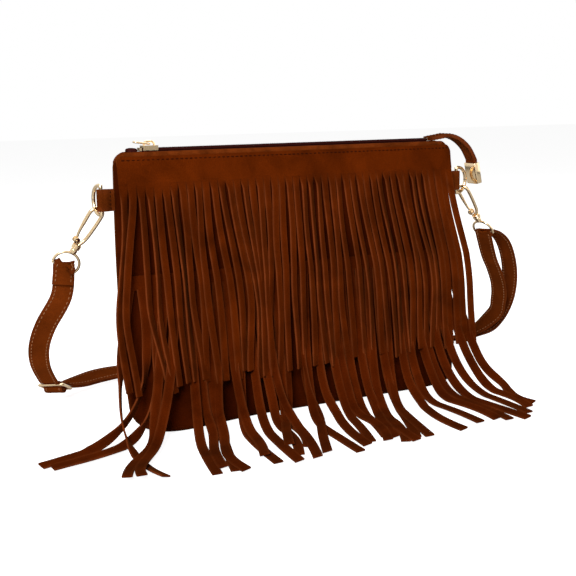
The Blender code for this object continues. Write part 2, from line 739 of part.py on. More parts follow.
def hook_body(name, frame, carrier):
    """Pear-shaped hook: a wire from the collar up one side, over the top and down to the gate's throat."""
    top = HOOK_LENGTH - HOOK_HALF_WIDTH - HOOK_WIRE_RADIUS
    shape = [(0.0008, 0.0030), (0.0034, 0.0080), (0.0044, 0.0140), (0.0050, 0.0215)]
    shape += [
        (HOOK_HALF_WIDTH * math.cos(turn), top + HOOK_HALF_WIDTH * math.sin(turn))
        for turn in (math.pi * step / 8 for step in range(9))
    ]
    shape += [(-HOOK_HALF_WIDTH * 0.99, (top + HOOK_THROAT) / 2), (-HOOK_HALF_WIDTH * 0.96, HOOK_THROAT)]
    wire = [frame @ Vector((x, 0, z)) for x, z in shape]
    body = tube(name, wire, HOOK_WIRE_RADIUS, gold_metal, carrier)
    lower, upper = frame @ Vector((0, 0, 0)), frame @ Vector((0, 0, COLLAR_HEIGHT))
    combine(body, round_bar(name + "_collar", lower, upper, COLLAR_RADIUS, gold_metal), "UNION")
    for word, sign in (("near", -1), ("far", 1)):
        inner = sign * (GATE_EYE_THICKNESS / 2 + RUNNING_GAP)
        outer = inner + sign * CHEEK_THICKNESS
        pin = Vector((-GATE_PIN_OUT, 0, GATE_PIN_UP))
        ends = [frame @ (pin + Vector((0, level, 0))) for level in (inner, outer)]
        combine(body, round_bar(f"{name}_cheek_{word}", *ends, CHEEK_RADIUS, gold_metal), "UNION")
        foot = [
            frame @ Vector((x, y, z))
            for x, y, z in (
                (-GATE_PIN_OUT * 0.9, (inner + outer) / 2, GATE_PIN_UP - 0.0008),
                (-GATE_PIN_OUT * 0.35, (inner + outer) / 2, COLLAR_HEIGHT - 0.0010),
            )
        ]
        combine(body, round_bar(f"{name}_ear_{word}", *foot, CHEEK_THICKNESS * 0.49, gold_metal, sides=8), "UNION")
    bore = round_bar(
        name + "_bore",
        frame @ Vector((0, 0, -0.001)),
        frame @ Vector((0, 0, COLLAR_HEIGHT + 0.001)),
        POST_RADIUS + RUNNING_GAP,
        gold_metal,
    )
    combine(body, bore, "DIFFERENCE")
    head_room = round_bar(
        name + "_head_room",
        frame @ Vector((0, 0, COLLAR_HEIGHT - POST_HEAD_HEIGHT - RUNNING_GAP)),
        frame @ Vector((0, 0, COLLAR_HEIGHT + 0.0030)),
        POST_HEAD_RADIUS + RUNNING_GAP,
        gold_metal,
    )
    combine(body, head_room, "DIFFERENCE")
    pin_bore = round_bar(
        name + "_pin_bore",
        frame @ Vector((-GATE_PIN_OUT, -0.004, GATE_PIN_UP)),
        frame @ Vector((-GATE_PIN_OUT, 0.004, GATE_PIN_UP)),
        GATE_PIN_RADIUS + RUNNING_GAP / 2,
        gold_metal,
    )
    combine(body, pin_bore, "DIFFERENCE")
    return body


def add_clip(side_name, sign, aim_deg, hang_deg, lean, eye_width_aim):
    """The D-ring, swivel hook and strap eye of one side. Returns the eye bar's middle and its direction."""
    ring_bar = Vector((sign * ring_bar_out, 0, RING_HEIGHT))
    turn = math.radians(aim_deg)
    ring_aim = Vector((sign * math.cos(turn), math.sin(turn), 0))
    ring_pivot = pivot(f"{side_name}_dring_pivot", Matrix.Translation(ring_bar))
    ring_line = [ring_bar + ring_point(ring_aim, math.radians(90 - 180 * step / 14)) for step in range(15)]
    ring_line += [ring_bar - UP * RING_HALF_HEIGHT / 3, ring_bar + UP * RING_HALF_HEIGHT / 3]
    tube(f"{side_name}_dring", ring_line, RING_WIRE_RADIUS, gold_metal, ring_pivot, cyclic=True)

    hang = math.radians(hang_deg)
    contact = ring_bar + ring_point(ring_aim, hang)
    along_wire = ring_aim * -RING_DEPTH * math.sin(hang) + UP * RING_HALF_HEIGHT * math.cos(hang)
    along_wire.normalize()
    inward = (UP - along_wire * along_wire.dot(UP)).normalized()
    sideways = inward.cross(along_wire) * -1
    hook_up = (inward + sideways * lean * math.copysign(1, sideways.dot(Vector((1, -0.3, 0))))).normalized()
    hook_across = along_wire.cross(hook_up)
    if hook_across.dot(Vector((1, -0.3, 0))) < 0:
        hook_across, along_wire = -hook_across, -along_wire
    reach = HOOK_LENGTH - 2 * HOOK_WIRE_RADIUS - RING_WIRE_RADIUS - HOOK_LINK_GAP
    origin = contact - hook_up * reach
    frame = Matrix((hook_across, along_wire, hook_up)).transposed().to_4x4()
    frame.translation = origin

    eye_across = eye_width_aim - hook_up * eye_width_aim.dot(hook_up)
    eye_across.normalize()
    eye_frame = Matrix((eye_across, hook_up.cross(eye_across), hook_up)).transposed().to_4x4()
    eye_frame.translation = origin
    bar_middle = eye_frame @ Vector((0, 0, -EYE_DROP))
    gate_pin = Matrix.Translation((-GATE_PIN_OUT, 0, GATE_PIN_UP))
    eye_pivot = pivot(f"{side_name}_eye_pivot", eye_frame @ Matrix.Translation((0, 0, -EYE_DROP)))
    swivel_pivot = pivot(f"{side_name}_swivel_pivot", frame, eye_pivot)
    gate_pivot = pivot(f"{side_name}_gate_pivot", frame @ gate_pin, swivel_pivot)

    half = EYE_HALF_WIDTH - EYE_WIRE_RADIUS
    shoulder = -0.0040
    eye_line = [eye_frame @ Vector((share * half, 0, -EYE_DROP)) for share in (-0.93, -0.4, 0.4, 0.93)]
    for step in range(11):
        swing = math.radians(-20 + 220 * step / 10)
        wide = half * math.cos(swing)
        high = -EYE_DROP + 0.0028 + (EYE_DROP + shoulder - 0.0028) * max(math.sin(swing), -0.25)
        eye_line.append(eye_frame @ Vector((wide, 0, high)))
    eye = tube(f"{side_name}_eye", eye_line, EYE_WIRE_RADIUS, gold_metal, eye_pivot, cyclic=True)
    post_foot, post_top = eye_frame @ Vector((0, 0, shoulder)), eye_frame @ Vector((0, 0, COLLAR_HEIGHT - 0.0002))
    combine(eye, round_bar(f"{side_name}_eye_post", post_foot, post_top, POST_RADIUS, gold_metal), "UNION")
    knob_ends = eye_frame @ Vector((0, 0, shoulder + 0.0001)), eye_frame @ Vector((0, 0, -RUNNING_GAP))
    combine(eye, round_bar(f"{side_name}_eye_knob", *knob_ends, COLLAR_RADIUS * 0.8, gold_metal), "UNION")
    head_ends = [eye_frame @ Vector((0, 0, COLLAR_HEIGHT - drop)) for drop in (POST_HEAD_HEIGHT, 0)]
    combine(eye, round_bar(f"{side_name}_eye_head", *head_ends, POST_HEAD_RADIUS, gold_metal), "UNION")

    hook_body(f"{side_name}_hook", frame, swivel_pivot)
    pin_reach = GATE_EYE_THICKNESS / 2 + RUNNING_GAP + CHEEK_THICKNESS + 0.0002
    pin_ends = [frame @ Vector((-GATE_PIN_OUT, level, GATE_PIN_UP)) for level in (-pin_reach, pin_reach)]
    round_bar(f"{side_name}_gate_pin", *pin_ends, GATE_PIN_RADIUS, gold_metal, swivel_pivot, sides=12)
    gate_line = [
        frame @ Vector((x, 0, z))
        for x, z in (
            (-GATE_PIN_OUT - 0.0002, GATE_PIN_UP + 0.0012),
            (-0.0044, 0.0120),
            (-0.0048, 0.0160),
            (-HOOK_HALF_WIDTH * 0.96, HOOK_THROAT - FIT_GAP),
        )
    ]
    gate = tube(f"{side_name}_gate", gate_line, GATE_WIRE_RADIUS, gold_metal, gate_pivot)
    eyelet_ends = [
        frame @ Vector((-GATE_PIN_OUT, level, GATE_PIN_UP)) for level in (-GATE_EYE_THICKNESS / 2, GATE_EYE_THICKNESS / 2)
    ]
    combine(gate, round_bar(f"{side_name}_gate_eyelet", *eyelet_ends, CHEEK_RADIUS - 0.0004, gold_metal), "UNION")
    slab = GATE_EYE_THICKNESS / 2
    for word, level in (("near", -1), ("far", 1)):
        lower = frame @ Vector((-GATE_PIN_OUT, level * slab, GATE_PIN_UP))
        upper = frame @ Vector((-GATE_PIN_OUT, level * (slab + 0.003), GATE_PIN_UP))
        relief = round_bar(f"{side_name}_gate_relief_{word}", lower, upper, CHEEK_RADIUS + RUNNING_GAP, gold_metal)
        combine(gate, relief, "DIFFERENCE")
    bore_ends = [frame @ Vector((-GATE_PIN_OUT, level, GATE_PIN_UP)) for level in (-0.003, 0.003)]
    bore_radius = GATE_PIN_RADIUS + RUNNING_GAP / 2
    combine(gate, round_bar(f"{side_name}_gate_bore", *bore_ends, bore_radius, gold_metal, sides=12), "DIFFERENCE")
    side_tab(f"{side_name}_tab", sign)
    return bar_middle, eye_across


left_bar, left_across = add_clip(
    "left", -1, LEFT_RING_AIM_DEG, LEFT_HANG_DEG, LEFT_HOOK_LEAN, Vector((0.912, -0.089, -0.39))
)
right_bar, right_across = add_clip(
    "right", 1, RIGHT_RING_AIM_DEG, RIGHT_HANG_DEG, RIGHT_HOOK_LEAN, Vector((0.288, -0.957, 0))
)


# Strap: one long suede band, sewn round the left eye, through the slide buckle, along the floor behind the
# bag, through the right eye and back on itself to the buckle's middle bar. Each point has its width's direction.
LEFT_ROUTE = (
    ((-0.1703, 0.0290, 0.0929), (0.90, -0.15, -0.38)),
    ((-0.1807, 0.0370, 0.0710), (0.92, -0.25, -0.25)),
    ((-0.1838, 0.0470, 0.0540), (0.92, -0.36, -0.10)),
    ((-0.1805, 0.0600, 0.0370), (0.86, -0.48, -0.06)),
)
FLOOR_ROUTE = (
    ((-0.1390, 0.1060, 0.0075), (0.62, -0.74, -0.25)),
    ((-0.1200, 0.1180, 0.0070), (0.48, -0.78, -0.38)),
    ((-0.0950, 0.1280, 0.0055), (0.36, -0.86, -0.30)),
    ((-0.0600, 0.1340, 0.0028), (0.15, -0.97, -0.08)),
    ((-0.0200, 0.1360, 0.0010), (0.02, -1.00, 0.00)),
    ((0.0400, 0.1360, 0.0010), (0.00, -1.00, 0.00)),
    ((0.1000, 0.1340, 0.0010), (-0.08, -1.00, 0.00)),
    ((0.1500, 0.1280, 0.0010), (-0.20, -0.98, 0.00)),
    ((0.1950, 0.1130, 0.0012), (-0.35, -0.94, 0.00)),
    ((0.2240, 0.0930, 0.0040), (-0.30, -0.94, 0.10)),
)
RIGHT_ROUTE = (
    ((0.2370, 0.0740, 0.0150), (-0.05, -0.97, 0.20)),
    ((0.2395, 0.0580, 0.0310), (0.12, -0.98, 0.10)),
    ((0.2370, 0.0440, 0.0500), (0.22, -0.97, 0.05)),
    ((0.2310, 0.0330, 0.0690), (0.26, -0.96, 0.02)),
    ((0.2210, 0.0230, 0.0880), (0.28, -0.96, 0.00)),
    ((0.2090, 0.0160, 0.1050), (0.29, -0.96, 0.00)),
    ((0.1960, 0.0120, 0.1145), (0.29, -0.96, 0.00)),
)
INNER_RIGHT_ROUTE = (
    ((0.1960, 0.0180, 0.0930), (0.29, -0.96, 0.00)),
    ((0.2070, 0.0240, 0.0790), (0.28, -0.96, 0.00)),
    ((0.2180, 0.0320, 0.0640), (0.26, -0.96, 0.02)),
    ((0.2270, 0.0430, 0.0480), (0.22, -0.97, 0.05)),
    ((0.2320, 0.0570, 0.0310), (0.12, -0.98, 0.10)),
)


def split_route(route):
    return [Vector(point) for point, _ in route], [Vector(across) for _, across in route]


def eye_wrap(bar, down, across, start_deg, end_deg, steps):
    """Points round an eye's bar: 0 degrees is on the side that across x down faces, turning over the top."""
    face = across.cross(down).normalized()
    radius = EYE_WIRE_RADIUS + FIT_GAP + STRAP_THICKNESS / 2
    points = []
    for step in range(steps + 1):
        turn = math.radians(start_deg + (end_deg - start_deg) * step / steps)
        points.append(bar + (face * math.cos(turn) - down * math.sin(turn)) * radius)
    return points


def buckle_frame():
    """The buckle lies in the strap: X across it, Y along it, and Z off its underside."""
    along = (Vector(FLOOR_ROUTE[0][0]) - Vector(LEFT_ROUTE[-1][0])).normalized()
    across = -(buckle_across_aim - along * buckle_across_aim.dot(along)).normalized()
    frame = Matrix((across, along, across.cross(along))).transposed().to_4x4()
    frame.translation = Vector(BUCKLE_PLACE)
    return frame


buckle_across_aim = Vector((0.80, -0.59, 0.04))
buckle = buckle_frame()
buckle_across = buckle.to_3x3() @ Vector((-1, 0, 0))
bar_pass = BUCKLE_WIRE_RADIUS + FIT_GAP + STRAP_THICKNESS / 2
under_bar = bar_pass + STRAP_LAYER_PITCH
into_buckle = [
    (-BUCKLE_HALF_LENGTH * 1.55, -bar_pass),
    (-BUCKLE_HALF_LENGTH, -bar_pass),
    (-BUCKLE_HALF_LENGTH + BUCKLE_WIRE_RADIUS * 1.7, -bar_pass * 0.94),
    (-BUCKLE_HALF_LENGTH + BUCKLE_WIRE_RADIUS * 3.2, under_bar * 0.16),
    (-BUCKLE_HALF_LENGTH + BUCKLE_WIRE_RADIUS * 4.8, under_bar * 0.86),
]
through_buckle = into_buckle + [(0, under_bar)] + [(-along, lift) for along, lift in reversed(into_buckle)]
round_buckle_bar = [
    (BUCKLE_HALF_LENGTH * 1.55, -bar_pass - STRAP_LAYER_PITCH),
    (BUCKLE_HALF_LENGTH, -bar_pass - STRAP_LAYER_PITCH),
    (BUCKLE_HALF_LENGTH * 0.62, -bar_pass - STRAP_LAYER_PITCH * 0.8),
    (BUCKLE_HALF_LENGTH * 0.28, -bar_pass - STRAP_LAYER_PITCH * 0.2),
]
for turn_deg in (-90, -135, -180, -225, -270, -315):
    turn = math.radians(turn_deg)
    round_buckle_bar.append((bar_pass * math.cos(turn), bar_pass * math.sin(turn)))
through_buckle = [buckle @ Vector((0, along, lift)) for along, lift in through_buckle]
round_buckle_bar = [buckle @ Vector((0, along, lift)) for along, lift in round_buckle_bar]

left_points, left_acrosses = split_route(LEFT_ROUTE)
floor_points, floor_acrosses = split_route(FLOOR_ROUTE)
right_points, right_acrosses = split_route(RIGHT_ROUTE)
inner_points, inner_acrosses = split_route(INNER_RIGHT_ROUTE)

left_down = (left_points[0] - left_bar).normalized()
left_down = (left_down - left_across * left_down.dot(left_across)).normalized()
left_face = left_across.cross(left_down).normalized()
left_loop = eye_wrap(left_bar, left_down, left_across, 180, 0, 6)
overlap_offset = left_face * (STRAP_LAYER_PITCH - FIT_GAP / 2)
left_tail = [left_bar + left_down * STRAP_OVERLAP * share - overlap_offset * lean for share, lean in ((1, 0.62), (0.45, 0.75))]

right_down = (inner_points[0] - right_bar).normalized()
right_down = (right_down - right_across * right_down.dot(right_across)).normalized()
right_loop = eye_wrap(right_bar, right_down, right_across, 60, -180, 8)

return_floor = []
route = floor_points
for k, point in enumerate(route):
    tangent = route[min(k + 1, len(route) - 1)] - route[max(k - 1, 0)]
    lift = floor_acrosses[k].cross(tangent).normalized()
    if lift.z < 0:
        lift = -lift
    return_floor.append(point + lift * STRAP_LAYER_PITCH)

strap_points = left_tail + left_loop
strap_across = [left_across] * len(strap_points)
strap_points += left_points + through_buckle + floor_points + right_points
strap_across += left_acrosses + [buckle_across] * len(through_buckle) + floor_acrosses + right_acrosses
strap_points += right_loop + inner_points + return_floor[::-1] + round_buckle_bar
strap_across += [right_across] * len(right_loop) + inner_acrosses + floor_acrosses[::-1]
strap_across += [buckle_across] * len(round_buckle_bar)
ribbon("strap", strap_points, strap_across, STRAP_WIDTH, STRAP_THICKNESS, strap_suede)

frame_line = []
for corner_x, corner_y, start_deg in ((1, 1, 0), (-1, 1, 90), (-1, -1, 180), (1, -1, 270)):
    radius = BUCKLE_WIRE_RADIUS * 1.6
    centre = Vector((corner_x * (BUCKLE_HALF_WIDTH - radius), corner_y * (BUCKLE_HALF_LENGTH - radius), 0))
    for step in range(3):
        turn = math.radians(start_deg + 45 * step)
        frame_line.append(buckle @ (centre + Vector((math.cos(turn), math.sin(turn), 0)) * radius))
slide_buckle = tube("slide_buckle", frame_line, BUCKLE_WIRE_RADIUS, gold_metal, cyclic=True)
bar_ends = [buckle @ Vector((sign * BUCKLE_HALF_WIDTH, 0, 0)) for sign in (-1, 1)]
combine(slide_buckle, round_bar("buckle_bar", *bar_ends, BUCKLE_WIRE_RADIUS * 0.95, gold_metal, sides=12), "UNION")
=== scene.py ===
"""A fringed suede bag: a zip pouch with two tiers of cut fringe and a clip-on shoulder strap.

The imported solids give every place. The suede, fringes, strap, zip and metal fittings are made here as finer
pieces in the same frame: metres, Z up, X along the pouch, the fringed front facing -Y.
"""
import json

import bmesh
import bpy
import numpy as np
from mathutils import Matrix


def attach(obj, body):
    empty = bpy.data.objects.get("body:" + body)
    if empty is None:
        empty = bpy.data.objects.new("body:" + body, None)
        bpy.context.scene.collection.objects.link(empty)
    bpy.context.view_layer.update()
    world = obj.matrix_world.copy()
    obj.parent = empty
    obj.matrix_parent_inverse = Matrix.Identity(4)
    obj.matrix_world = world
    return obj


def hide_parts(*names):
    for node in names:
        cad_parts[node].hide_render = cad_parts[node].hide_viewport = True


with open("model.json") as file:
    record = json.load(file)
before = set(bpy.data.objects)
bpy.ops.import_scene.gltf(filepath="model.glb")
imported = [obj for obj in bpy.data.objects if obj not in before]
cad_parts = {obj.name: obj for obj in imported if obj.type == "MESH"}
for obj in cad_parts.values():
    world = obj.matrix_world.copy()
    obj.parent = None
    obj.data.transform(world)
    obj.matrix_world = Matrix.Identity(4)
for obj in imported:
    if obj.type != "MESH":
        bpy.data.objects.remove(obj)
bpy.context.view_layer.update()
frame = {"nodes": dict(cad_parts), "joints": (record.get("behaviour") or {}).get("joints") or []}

# Camera. The photograph is taken from the front left, a little above the bag, with a long lens that is
# tilted slightly to one side.
CAMERA_PLACE = (-0.3631, -0.6965, 0.2265)
CAMERA_YAW_DEG = 27.16
CAMERA_DOWN_DEG = 10.08
CAMERA_ROLL_DEG = -0.835
FOCAL_LENGTH_PX = 1058.0
PICTURE_WIDTH_PX = 576

yaw, down, roll = np.radians((CAMERA_YAW_DEG, CAMERA_DOWN_DEG, CAMERA_ROLL_DEG))
look = np.array((np.sin(yaw) * np.cos(down), np.cos(yaw) * np.cos(down), -np.sin(down)))
level_right = np.array((np.cos(yaw), -np.sin(yaw), 0.0))
level_up = np.cross(level_right, look)
right = np.cos(roll) * level_right + np.sin(roll) * level_up
up = np.cos(roll) * level_up - np.sin(roll) * level_right
camera_data = bpy.data.cameras.new("camera")
camera_data.sensor_fit = "HORIZONTAL"
camera_data.lens = camera_data.sensor_width * FOCAL_LENGTH_PX / PICTURE_WIDTH_PX
camera = bpy.data.objects.new("camera", camera_data)
camera.matrix_world = Matrix.Translation(CAMERA_PLACE) @ Matrix((right, up, -look)).transposed().to_4x4()
bpy.context.scene.collection.objects.link(camera)
bpy.context.scene.camera = camera
bpy.context.scene.view_settings.view_transform = "Standard"

# Studio. A white sweep under soft lamps: a large key at the front left, a weak fill at the right and one lamp
# behind and above for the strap. The camera and the metal see the world as white; it lights the bag weakly.
LAMPS = (
    ("key_lamp", (-0.95, -1.15, 1.05), 0.7, 27.0),
    ("fill_lamp", (1.15, -0.75, 0.55), 0.7, 2.0),
    ("back_lamp", (0.35, 1.0, 1.2), 0.8, 9.0),
)
LAMP_AIM = (0.0, 0.0, 0.09)
WORLD_STRENGTH = 0.04

world = bpy.data.worlds.new("white_studio")
bpy.context.scene.world = world
world.use_nodes = True
world_nodes, world_links = world.node_tree.nodes, world.node_tree.links
backdrop = world_nodes["Background"]
backdrop.inputs["Color"].default_value = (1, 1, 1, 1)
seen_by = world_nodes.new("ShaderNodeLightPath")
seen_by_camera_or_gloss = world_nodes.new("ShaderNodeMath")
seen_by_camera_or_gloss.operation = "MAXIMUM"
world_links.new(seen_by.outputs["Is Camera Ray"], seen_by_camera_or_gloss.inputs[0])
world_links.new(seen_by.outputs["Is Glossy Ray"], seen_by_camera_or_gloss.inputs[1])
strength = world_nodes.new("ShaderNodeMapRange")
strength.inputs["To Min"].default_value = WORLD_STRENGTH
strength.inputs["To Max"].default_value = 1.0
world_links.new(seen_by_camera_or_gloss.outputs[0], strength.inputs["Value"])
world_links.new(strength.outputs[0], backdrop.inputs["Strength"])

for lamp_name, place, size, watts in LAMPS:
    lamp_data = bpy.data.lights.new(lamp_name, "AREA")
    lamp_data.size = size
    lamp_data.energy = watts
    lamp = bpy.data.objects.new(lamp_name, lamp_data)
    aim = Matrix.Translation(place).to_translation() - Matrix.Translation(LAMP_AIM).to_translation()
    lamp.matrix_world = Matrix.Translation(place) @ aim.to_track_quat("Z", "Y").to_matrix().to_4x4()
    bpy.context.scene.collection.objects.link(lamp)

FLOOR_HALF = 6.0
FLOOR_LEVEL = -0.0002
FLOOR_LIFT = 0.92
floor_mesh = bpy.data.meshes.new("floor")
floor_corners = np.array(((-1, -1, 0), (1, -1, 0), (1, 1, 0), (-1, 1, 0))) * FLOOR_HALF + (0, 0, FLOOR_LEVEL)
floor_mesh.from_pydata(floor_corners.tolist(), [], [(0, 1, 2, 3)])
floor = bpy.data.objects.new("floor", floor_mesh)
bpy.context.scene.collection.objects.link(floor)


def finish(name, settings):
    """A material whose Principled shader has the given inputs, with its nodes, links and shader."""
    made = bpy.data.materials.new(name)
    made.use_nodes = True
    nodes, links = made.node_tree.nodes, made.node_tree.links
    shader = nodes["Principled BSDF"]
    for socket, value in settings.items():
        shader.inputs[socket].default_value = value
    return made, nodes, links, shader


floor_white, floor_nodes, floor_links, floor_shader = finish("floor_white", {
    "Base Color": (0.9, 0.9, 0.9, 1), "Roughness": 0.8, "Specular IOR Level": 0.0,
    "Emission Color": (1, 1, 1, 1),
})
floor_seen = floor_nodes.new("ShaderNodeLightPath")
floor_lift = floor_nodes.new("ShaderNodeMath")
floor_lift.operation = "MULTIPLY"
floor_lift.inputs[1].default_value = FLOOR_LIFT
floor_links.new(floor_seen.outputs["Is Camera Ray"], floor_lift.inputs[0])
floor_links.new(floor_lift.outputs[0], floor_shader.inputs["Emission Strength"])
floor_mesh.materials.append(floor_white)

# Pouch. Two panels of rust-brown suede, sewn together at the sides and under the base and left open at the
# mouth. Stuffed, the pouch is a wedge: deep at its foot, thin at its mouth, with soft rounded corners.
SUEDE = 0.0013
POUCH_HEIGHT = 0.192
POUCH_TOP_WIDTH = 0.275
POUCH_BASE_WIDTH = 0.281
POUCH_TOP_DEPTH = 0.012
POUCH_BASE_DEPTH = 0.044
SIDE_DEPTH = 0.0054
TOP_CORNER = 0.009
BASE_CORNER = 0.014
FOOT_RADIUS = 0.005
SEAM_GAP = 0.0003
FOOT_FORWARD = 0.003
CORNER_FORWARD = 0.011
CORNER_IN = 0.005
PANEL_SLACK = 0.0007
# The front panel is the same suede as the back, but its brown is darker: painted shade for the fringes'
# shadow on it.
FRONT_PANEL_SHADED_BROWN = (0.050, 0.0064, 0.0006)
BACK_BROWN = (0.110, 0.0165, 0.0012)
# The paler cut edge is partly the raw edge's own tone and partly a painted highlight where the edges catch
# light.
CUT_EDGE_AND_HIGHLIGHT_BROWN = (0.160, 0.033, 0.008)


def corner_cut(distance, radius):
    """How far a round corner draws the side in: r - sqrt(r^2 - (r - d)^2) inside the corner, none past it."""
    inside = np.clip(radius - distance, 0, radius)
    return radius - np.sqrt(radius**2 - inside**2)


def pouch_half_width(z):
    """Half the pouch's width: straight from the base's half width to the mouth's, less the corner cuts."""
    half = (POUCH_BASE_WIDTH + (POUCH_TOP_WIDTH - POUCH_BASE_WIDTH) * z / POUCH_HEIGHT) / 2
    return half - corner_cut(z, BASE_CORNER) - corner_cut(POUCH_HEIGHT - z, TOP_CORNER)


def pouch_half_depth(x, z):
    """Half the pouch's depth: a wedge times (1 - share^n)^0.6 across, its n larger at mouth and foot."""
    height = np.clip(z / POUCH_HEIGHT, 0, 1)
    full = (POUCH_BASE_DEPTH + (POUCH_TOP_DEPTH - POUCH_BASE_DEPTH) * height**0.9) / 2
    share = np.clip(np.abs(x) / pouch_half_width(np.clip(z, 0, POUCH_HEIGHT)), 0, 1)
    squareness = 4 + 12 * height**3 + 10 * (1 - height) ** 6
    return SIDE_DEPTH / 2 + (full - SIDE_DEPTH / 2) * (1 - share**squareness) ** 0.6


def smooth_step(t):
    """3t^2 - 2t^3, held at 0 and 1 outside."""
    t = np.clip(t, 0, 1)
    return t * t * (3 - 2 * t)


def signed_power(value, power):
    """sign(v) |v|^p, which squares up a sine or cosine when p is below 1."""
    return np.sign(value) * np.abs(value) ** power


def foot_shift(x, z):
    """How far the stuffed foot stands forward, most at its left corner, which is also drawn in: dx and dy.

    Both die out upwards as (1 - height)^3, and the corner's share is a smooth step along the left half.
    """
    low = np.clip(1 - z / POUCH_HEIGHT, 0, 1) ** 3
    corner = smooth_step((-x - 0.03) / 0.10)
    return CORNER_IN * corner * low, -(FOOT_FORWARD + CORNER_FORWARD * corner) * low


def suede_nap_group():
    """Brushed nap: broad brush marks and a fine speckle shade the colour, which is paler at a cut edge."""
    group = bpy.data.node_groups.new("suede_nap", "ShaderNodeTree")
    for socket, kind, value in (
        ("Colour", "NodeSocketColor", (0.1, 0.1, 0.1, 1)),
        ("Edge Colour", "NodeSocketColor", (0.3, 0.1, 0.03, 1)),
        ("Edge", "NodeSocketFloat", 0.0),
        ("Brush Scale", "NodeSocketFloat", 38.0),
    ):
        group.interface.new_socket(socket, in_out="INPUT", socket_type=kind).default_value = value
    group.interface.new_socket("Colour", in_out="OUTPUT", socket_type="NodeSocketColor")
    group.interface.new_socket("Normal", in_out="OUTPUT", socket_type="NodeSocketVector")
    nodes, links = group.nodes, group.links
    entry, leave = nodes.new("NodeGroupInput"), nodes.new("NodeGroupOutput")
    where = nodes.new("ShaderNodeTexCoord")
    brush = nodes.new("ShaderNodeTexNoise")
    brush.inputs["Detail"].default_value = 3.0
    brush.inputs["Distortion"].default_value = 0.8
    links.new(where.outputs["Object"], brush.inputs["Vector"])
    links.new(entry.outputs["Brush Scale"], brush.inputs["Scale"])
    nap = nodes.new("ShaderNodeTexNoise")
    nap.inputs["Scale"].default_value = 1400.0
    nap.inputs["Detail"].default_value = 3.0
    links.new(where.outputs["Object"], nap.inputs["Vector"])
    shade = nodes.new("ShaderNodeMath")
    shade.operation = "MULTIPLY"
    for noise, spread, shades, factor in (
        (brush, (0.3, 0.7), (0.70, 1.28), shade.inputs[0]),
        (nap, (0.25, 0.75), (0.80, 1.20), shade.inputs[1]),
    ):
        ranged = nodes.new("ShaderNodeMapRange")
        ranged.inputs["From Min"].default_value, ranged.inputs["From Max"].default_value = spread
        ranged.inputs["To Min"].default_value, ranged.inputs["To Max"].default_value = shades
        links.new(noise.outputs["Fac"], ranged.inputs["Value"])
        links.new(ranged.outputs[0], factor)
    # Towards a cut edge the colour is mixed to the paler edge brown: partly its own tone, partly painted
    # highlight.
    edged = nodes.new("ShaderNodeMix")
    edged.data_type = "RGBA"
    links.new(entry.outputs["Edge"], edged.inputs["Factor"])
    links.new(entry.outputs["Colour"], edged.inputs["A"])
    links.new(entry.outputs["Edge Colour"], edged.inputs["B"])
    shaded = nodes.new("ShaderNodeVectorMath")
    shaded.operation = "SCALE"
    links.new(edged.outputs["Result"], shaded.inputs[0])
    links.new(shade.outputs[0], shaded.inputs["Scale"])
    relief = nodes.new("ShaderNodeBump")
    relief.inputs["Strength"].default_value = 0.35
    relief.inputs["Distance"].default_value = 0.0003
    links.new(nap.outputs["Fac"], relief.inputs["Height"])
    links.new(shaded.outputs[0], leave.inputs["Colour"])
    links.new(relief.outputs[0], leave.inputs["Normal"])
    return group


suede_nap = suede_nap_group()


def suede_finish(name, colour, edge_colour=CUT_EDGE_AND_HIGHLIGHT_BROWN, brush_scale=38.0):
    """Matt suede: the nap group's colour and normal, no shine, and a slight warm sheen from raised fibres."""
    made, nodes, links, shader = finish(name, {
        "Roughness": 0.92, "Specular IOR Level": 0.0, "Sheen Weight": 0.05, "Sheen Roughness": 0.45,
        "Sheen Tint": (1.0, 0.42, 0.12, 1),
    })
    nap = nodes.new("ShaderNodeGroup")
    nap.node_tree = suede_nap
    nap.inputs["Colour"].default_value = (*colour, 1)
    nap.inputs["Edge Colour"].default_value = (*edge_colour, 1)
    nap.inputs["Brush Scale"].default_value = brush_scale
    edge = nodes.new("ShaderNodeAttribute")
    edge.attribute_name = "cut_edge"
    links.new(edge.outputs["Fac"], nap.inputs["Edge"])
    links.new(nap.outputs["Colour"], shader.inputs["Base Color"])
    links.new(nap.outputs["Normal"], shader.inputs["Normal"])
    return made


def add_piece(name, points, material, edge=None, looped=False, sharp_deg=50):
    """Closed solids as one mesh, from points in pieces, rows, ring and XYZ.

    A ring runs along one face and back along the other, so that its ends pair up: point j faces point n-1-j.
    Quads join each row to the next. Unless it is looped, the pairs of its first and last row close the ends.
    """
    pieces, rows, ring, _ = points.shape
    index = np.arange(pieces * rows * ring).reshape(pieces, rows, ring)
    first = index if looped else index[:, :-1]
    second = np.roll(index, -1, axis=1) if looped else index[:, 1:]
    quads = [np.stack((first, np.roll(first, -1, 2), np.roll(second, -1, 2), second), -1).reshape(-1, 4)]
    if not looped:
        near = np.arange(ring // 2 - 1)
        far = ring - 1 - near
        for row in (0, rows - 1):
            end = index[:, row]
            pairs = (end[:, near], end[:, near + 1], end[:, far - 1], end[:, far])
            quads.append(np.stack(pairs, -1).reshape(-1, 4))
    mesh = bpy.data.meshes.new(name)
    mesh.from_pydata(points.reshape(-1, 3).tolist(), [], np.concatenate(quads).tolist())
    if edge is not None:
        mask = mesh.attributes.new("cut_edge", "FLOAT", "POINT")
        mask.data.foreach_set("value", np.broadcast_to(edge, points.shape[:3]).astype(np.float32).ravel())
    tidy = bmesh.new()
    tidy.from_mesh(mesh)
    bmesh.ops.recalc_face_normals(tidy, faces=tidy.faces)
    tidy.to_mesh(mesh)
    tidy.free()
    mesh.shade_smooth()
    mesh.set_sharp_from_angle(angle=np.radians(sharp_deg))
    mesh.materials.append(material)
    piece = bpy.data.objects.new(name, mesh)
    bpy.context.scene.collection.objects.link(piece)
    return piece


def two_faced(front, back):
    """A sheet's rings from the grids of its faces: each row along the front and back along the rear."""
    return np.concatenate((front, back[:, ::-1]), 1)[None]


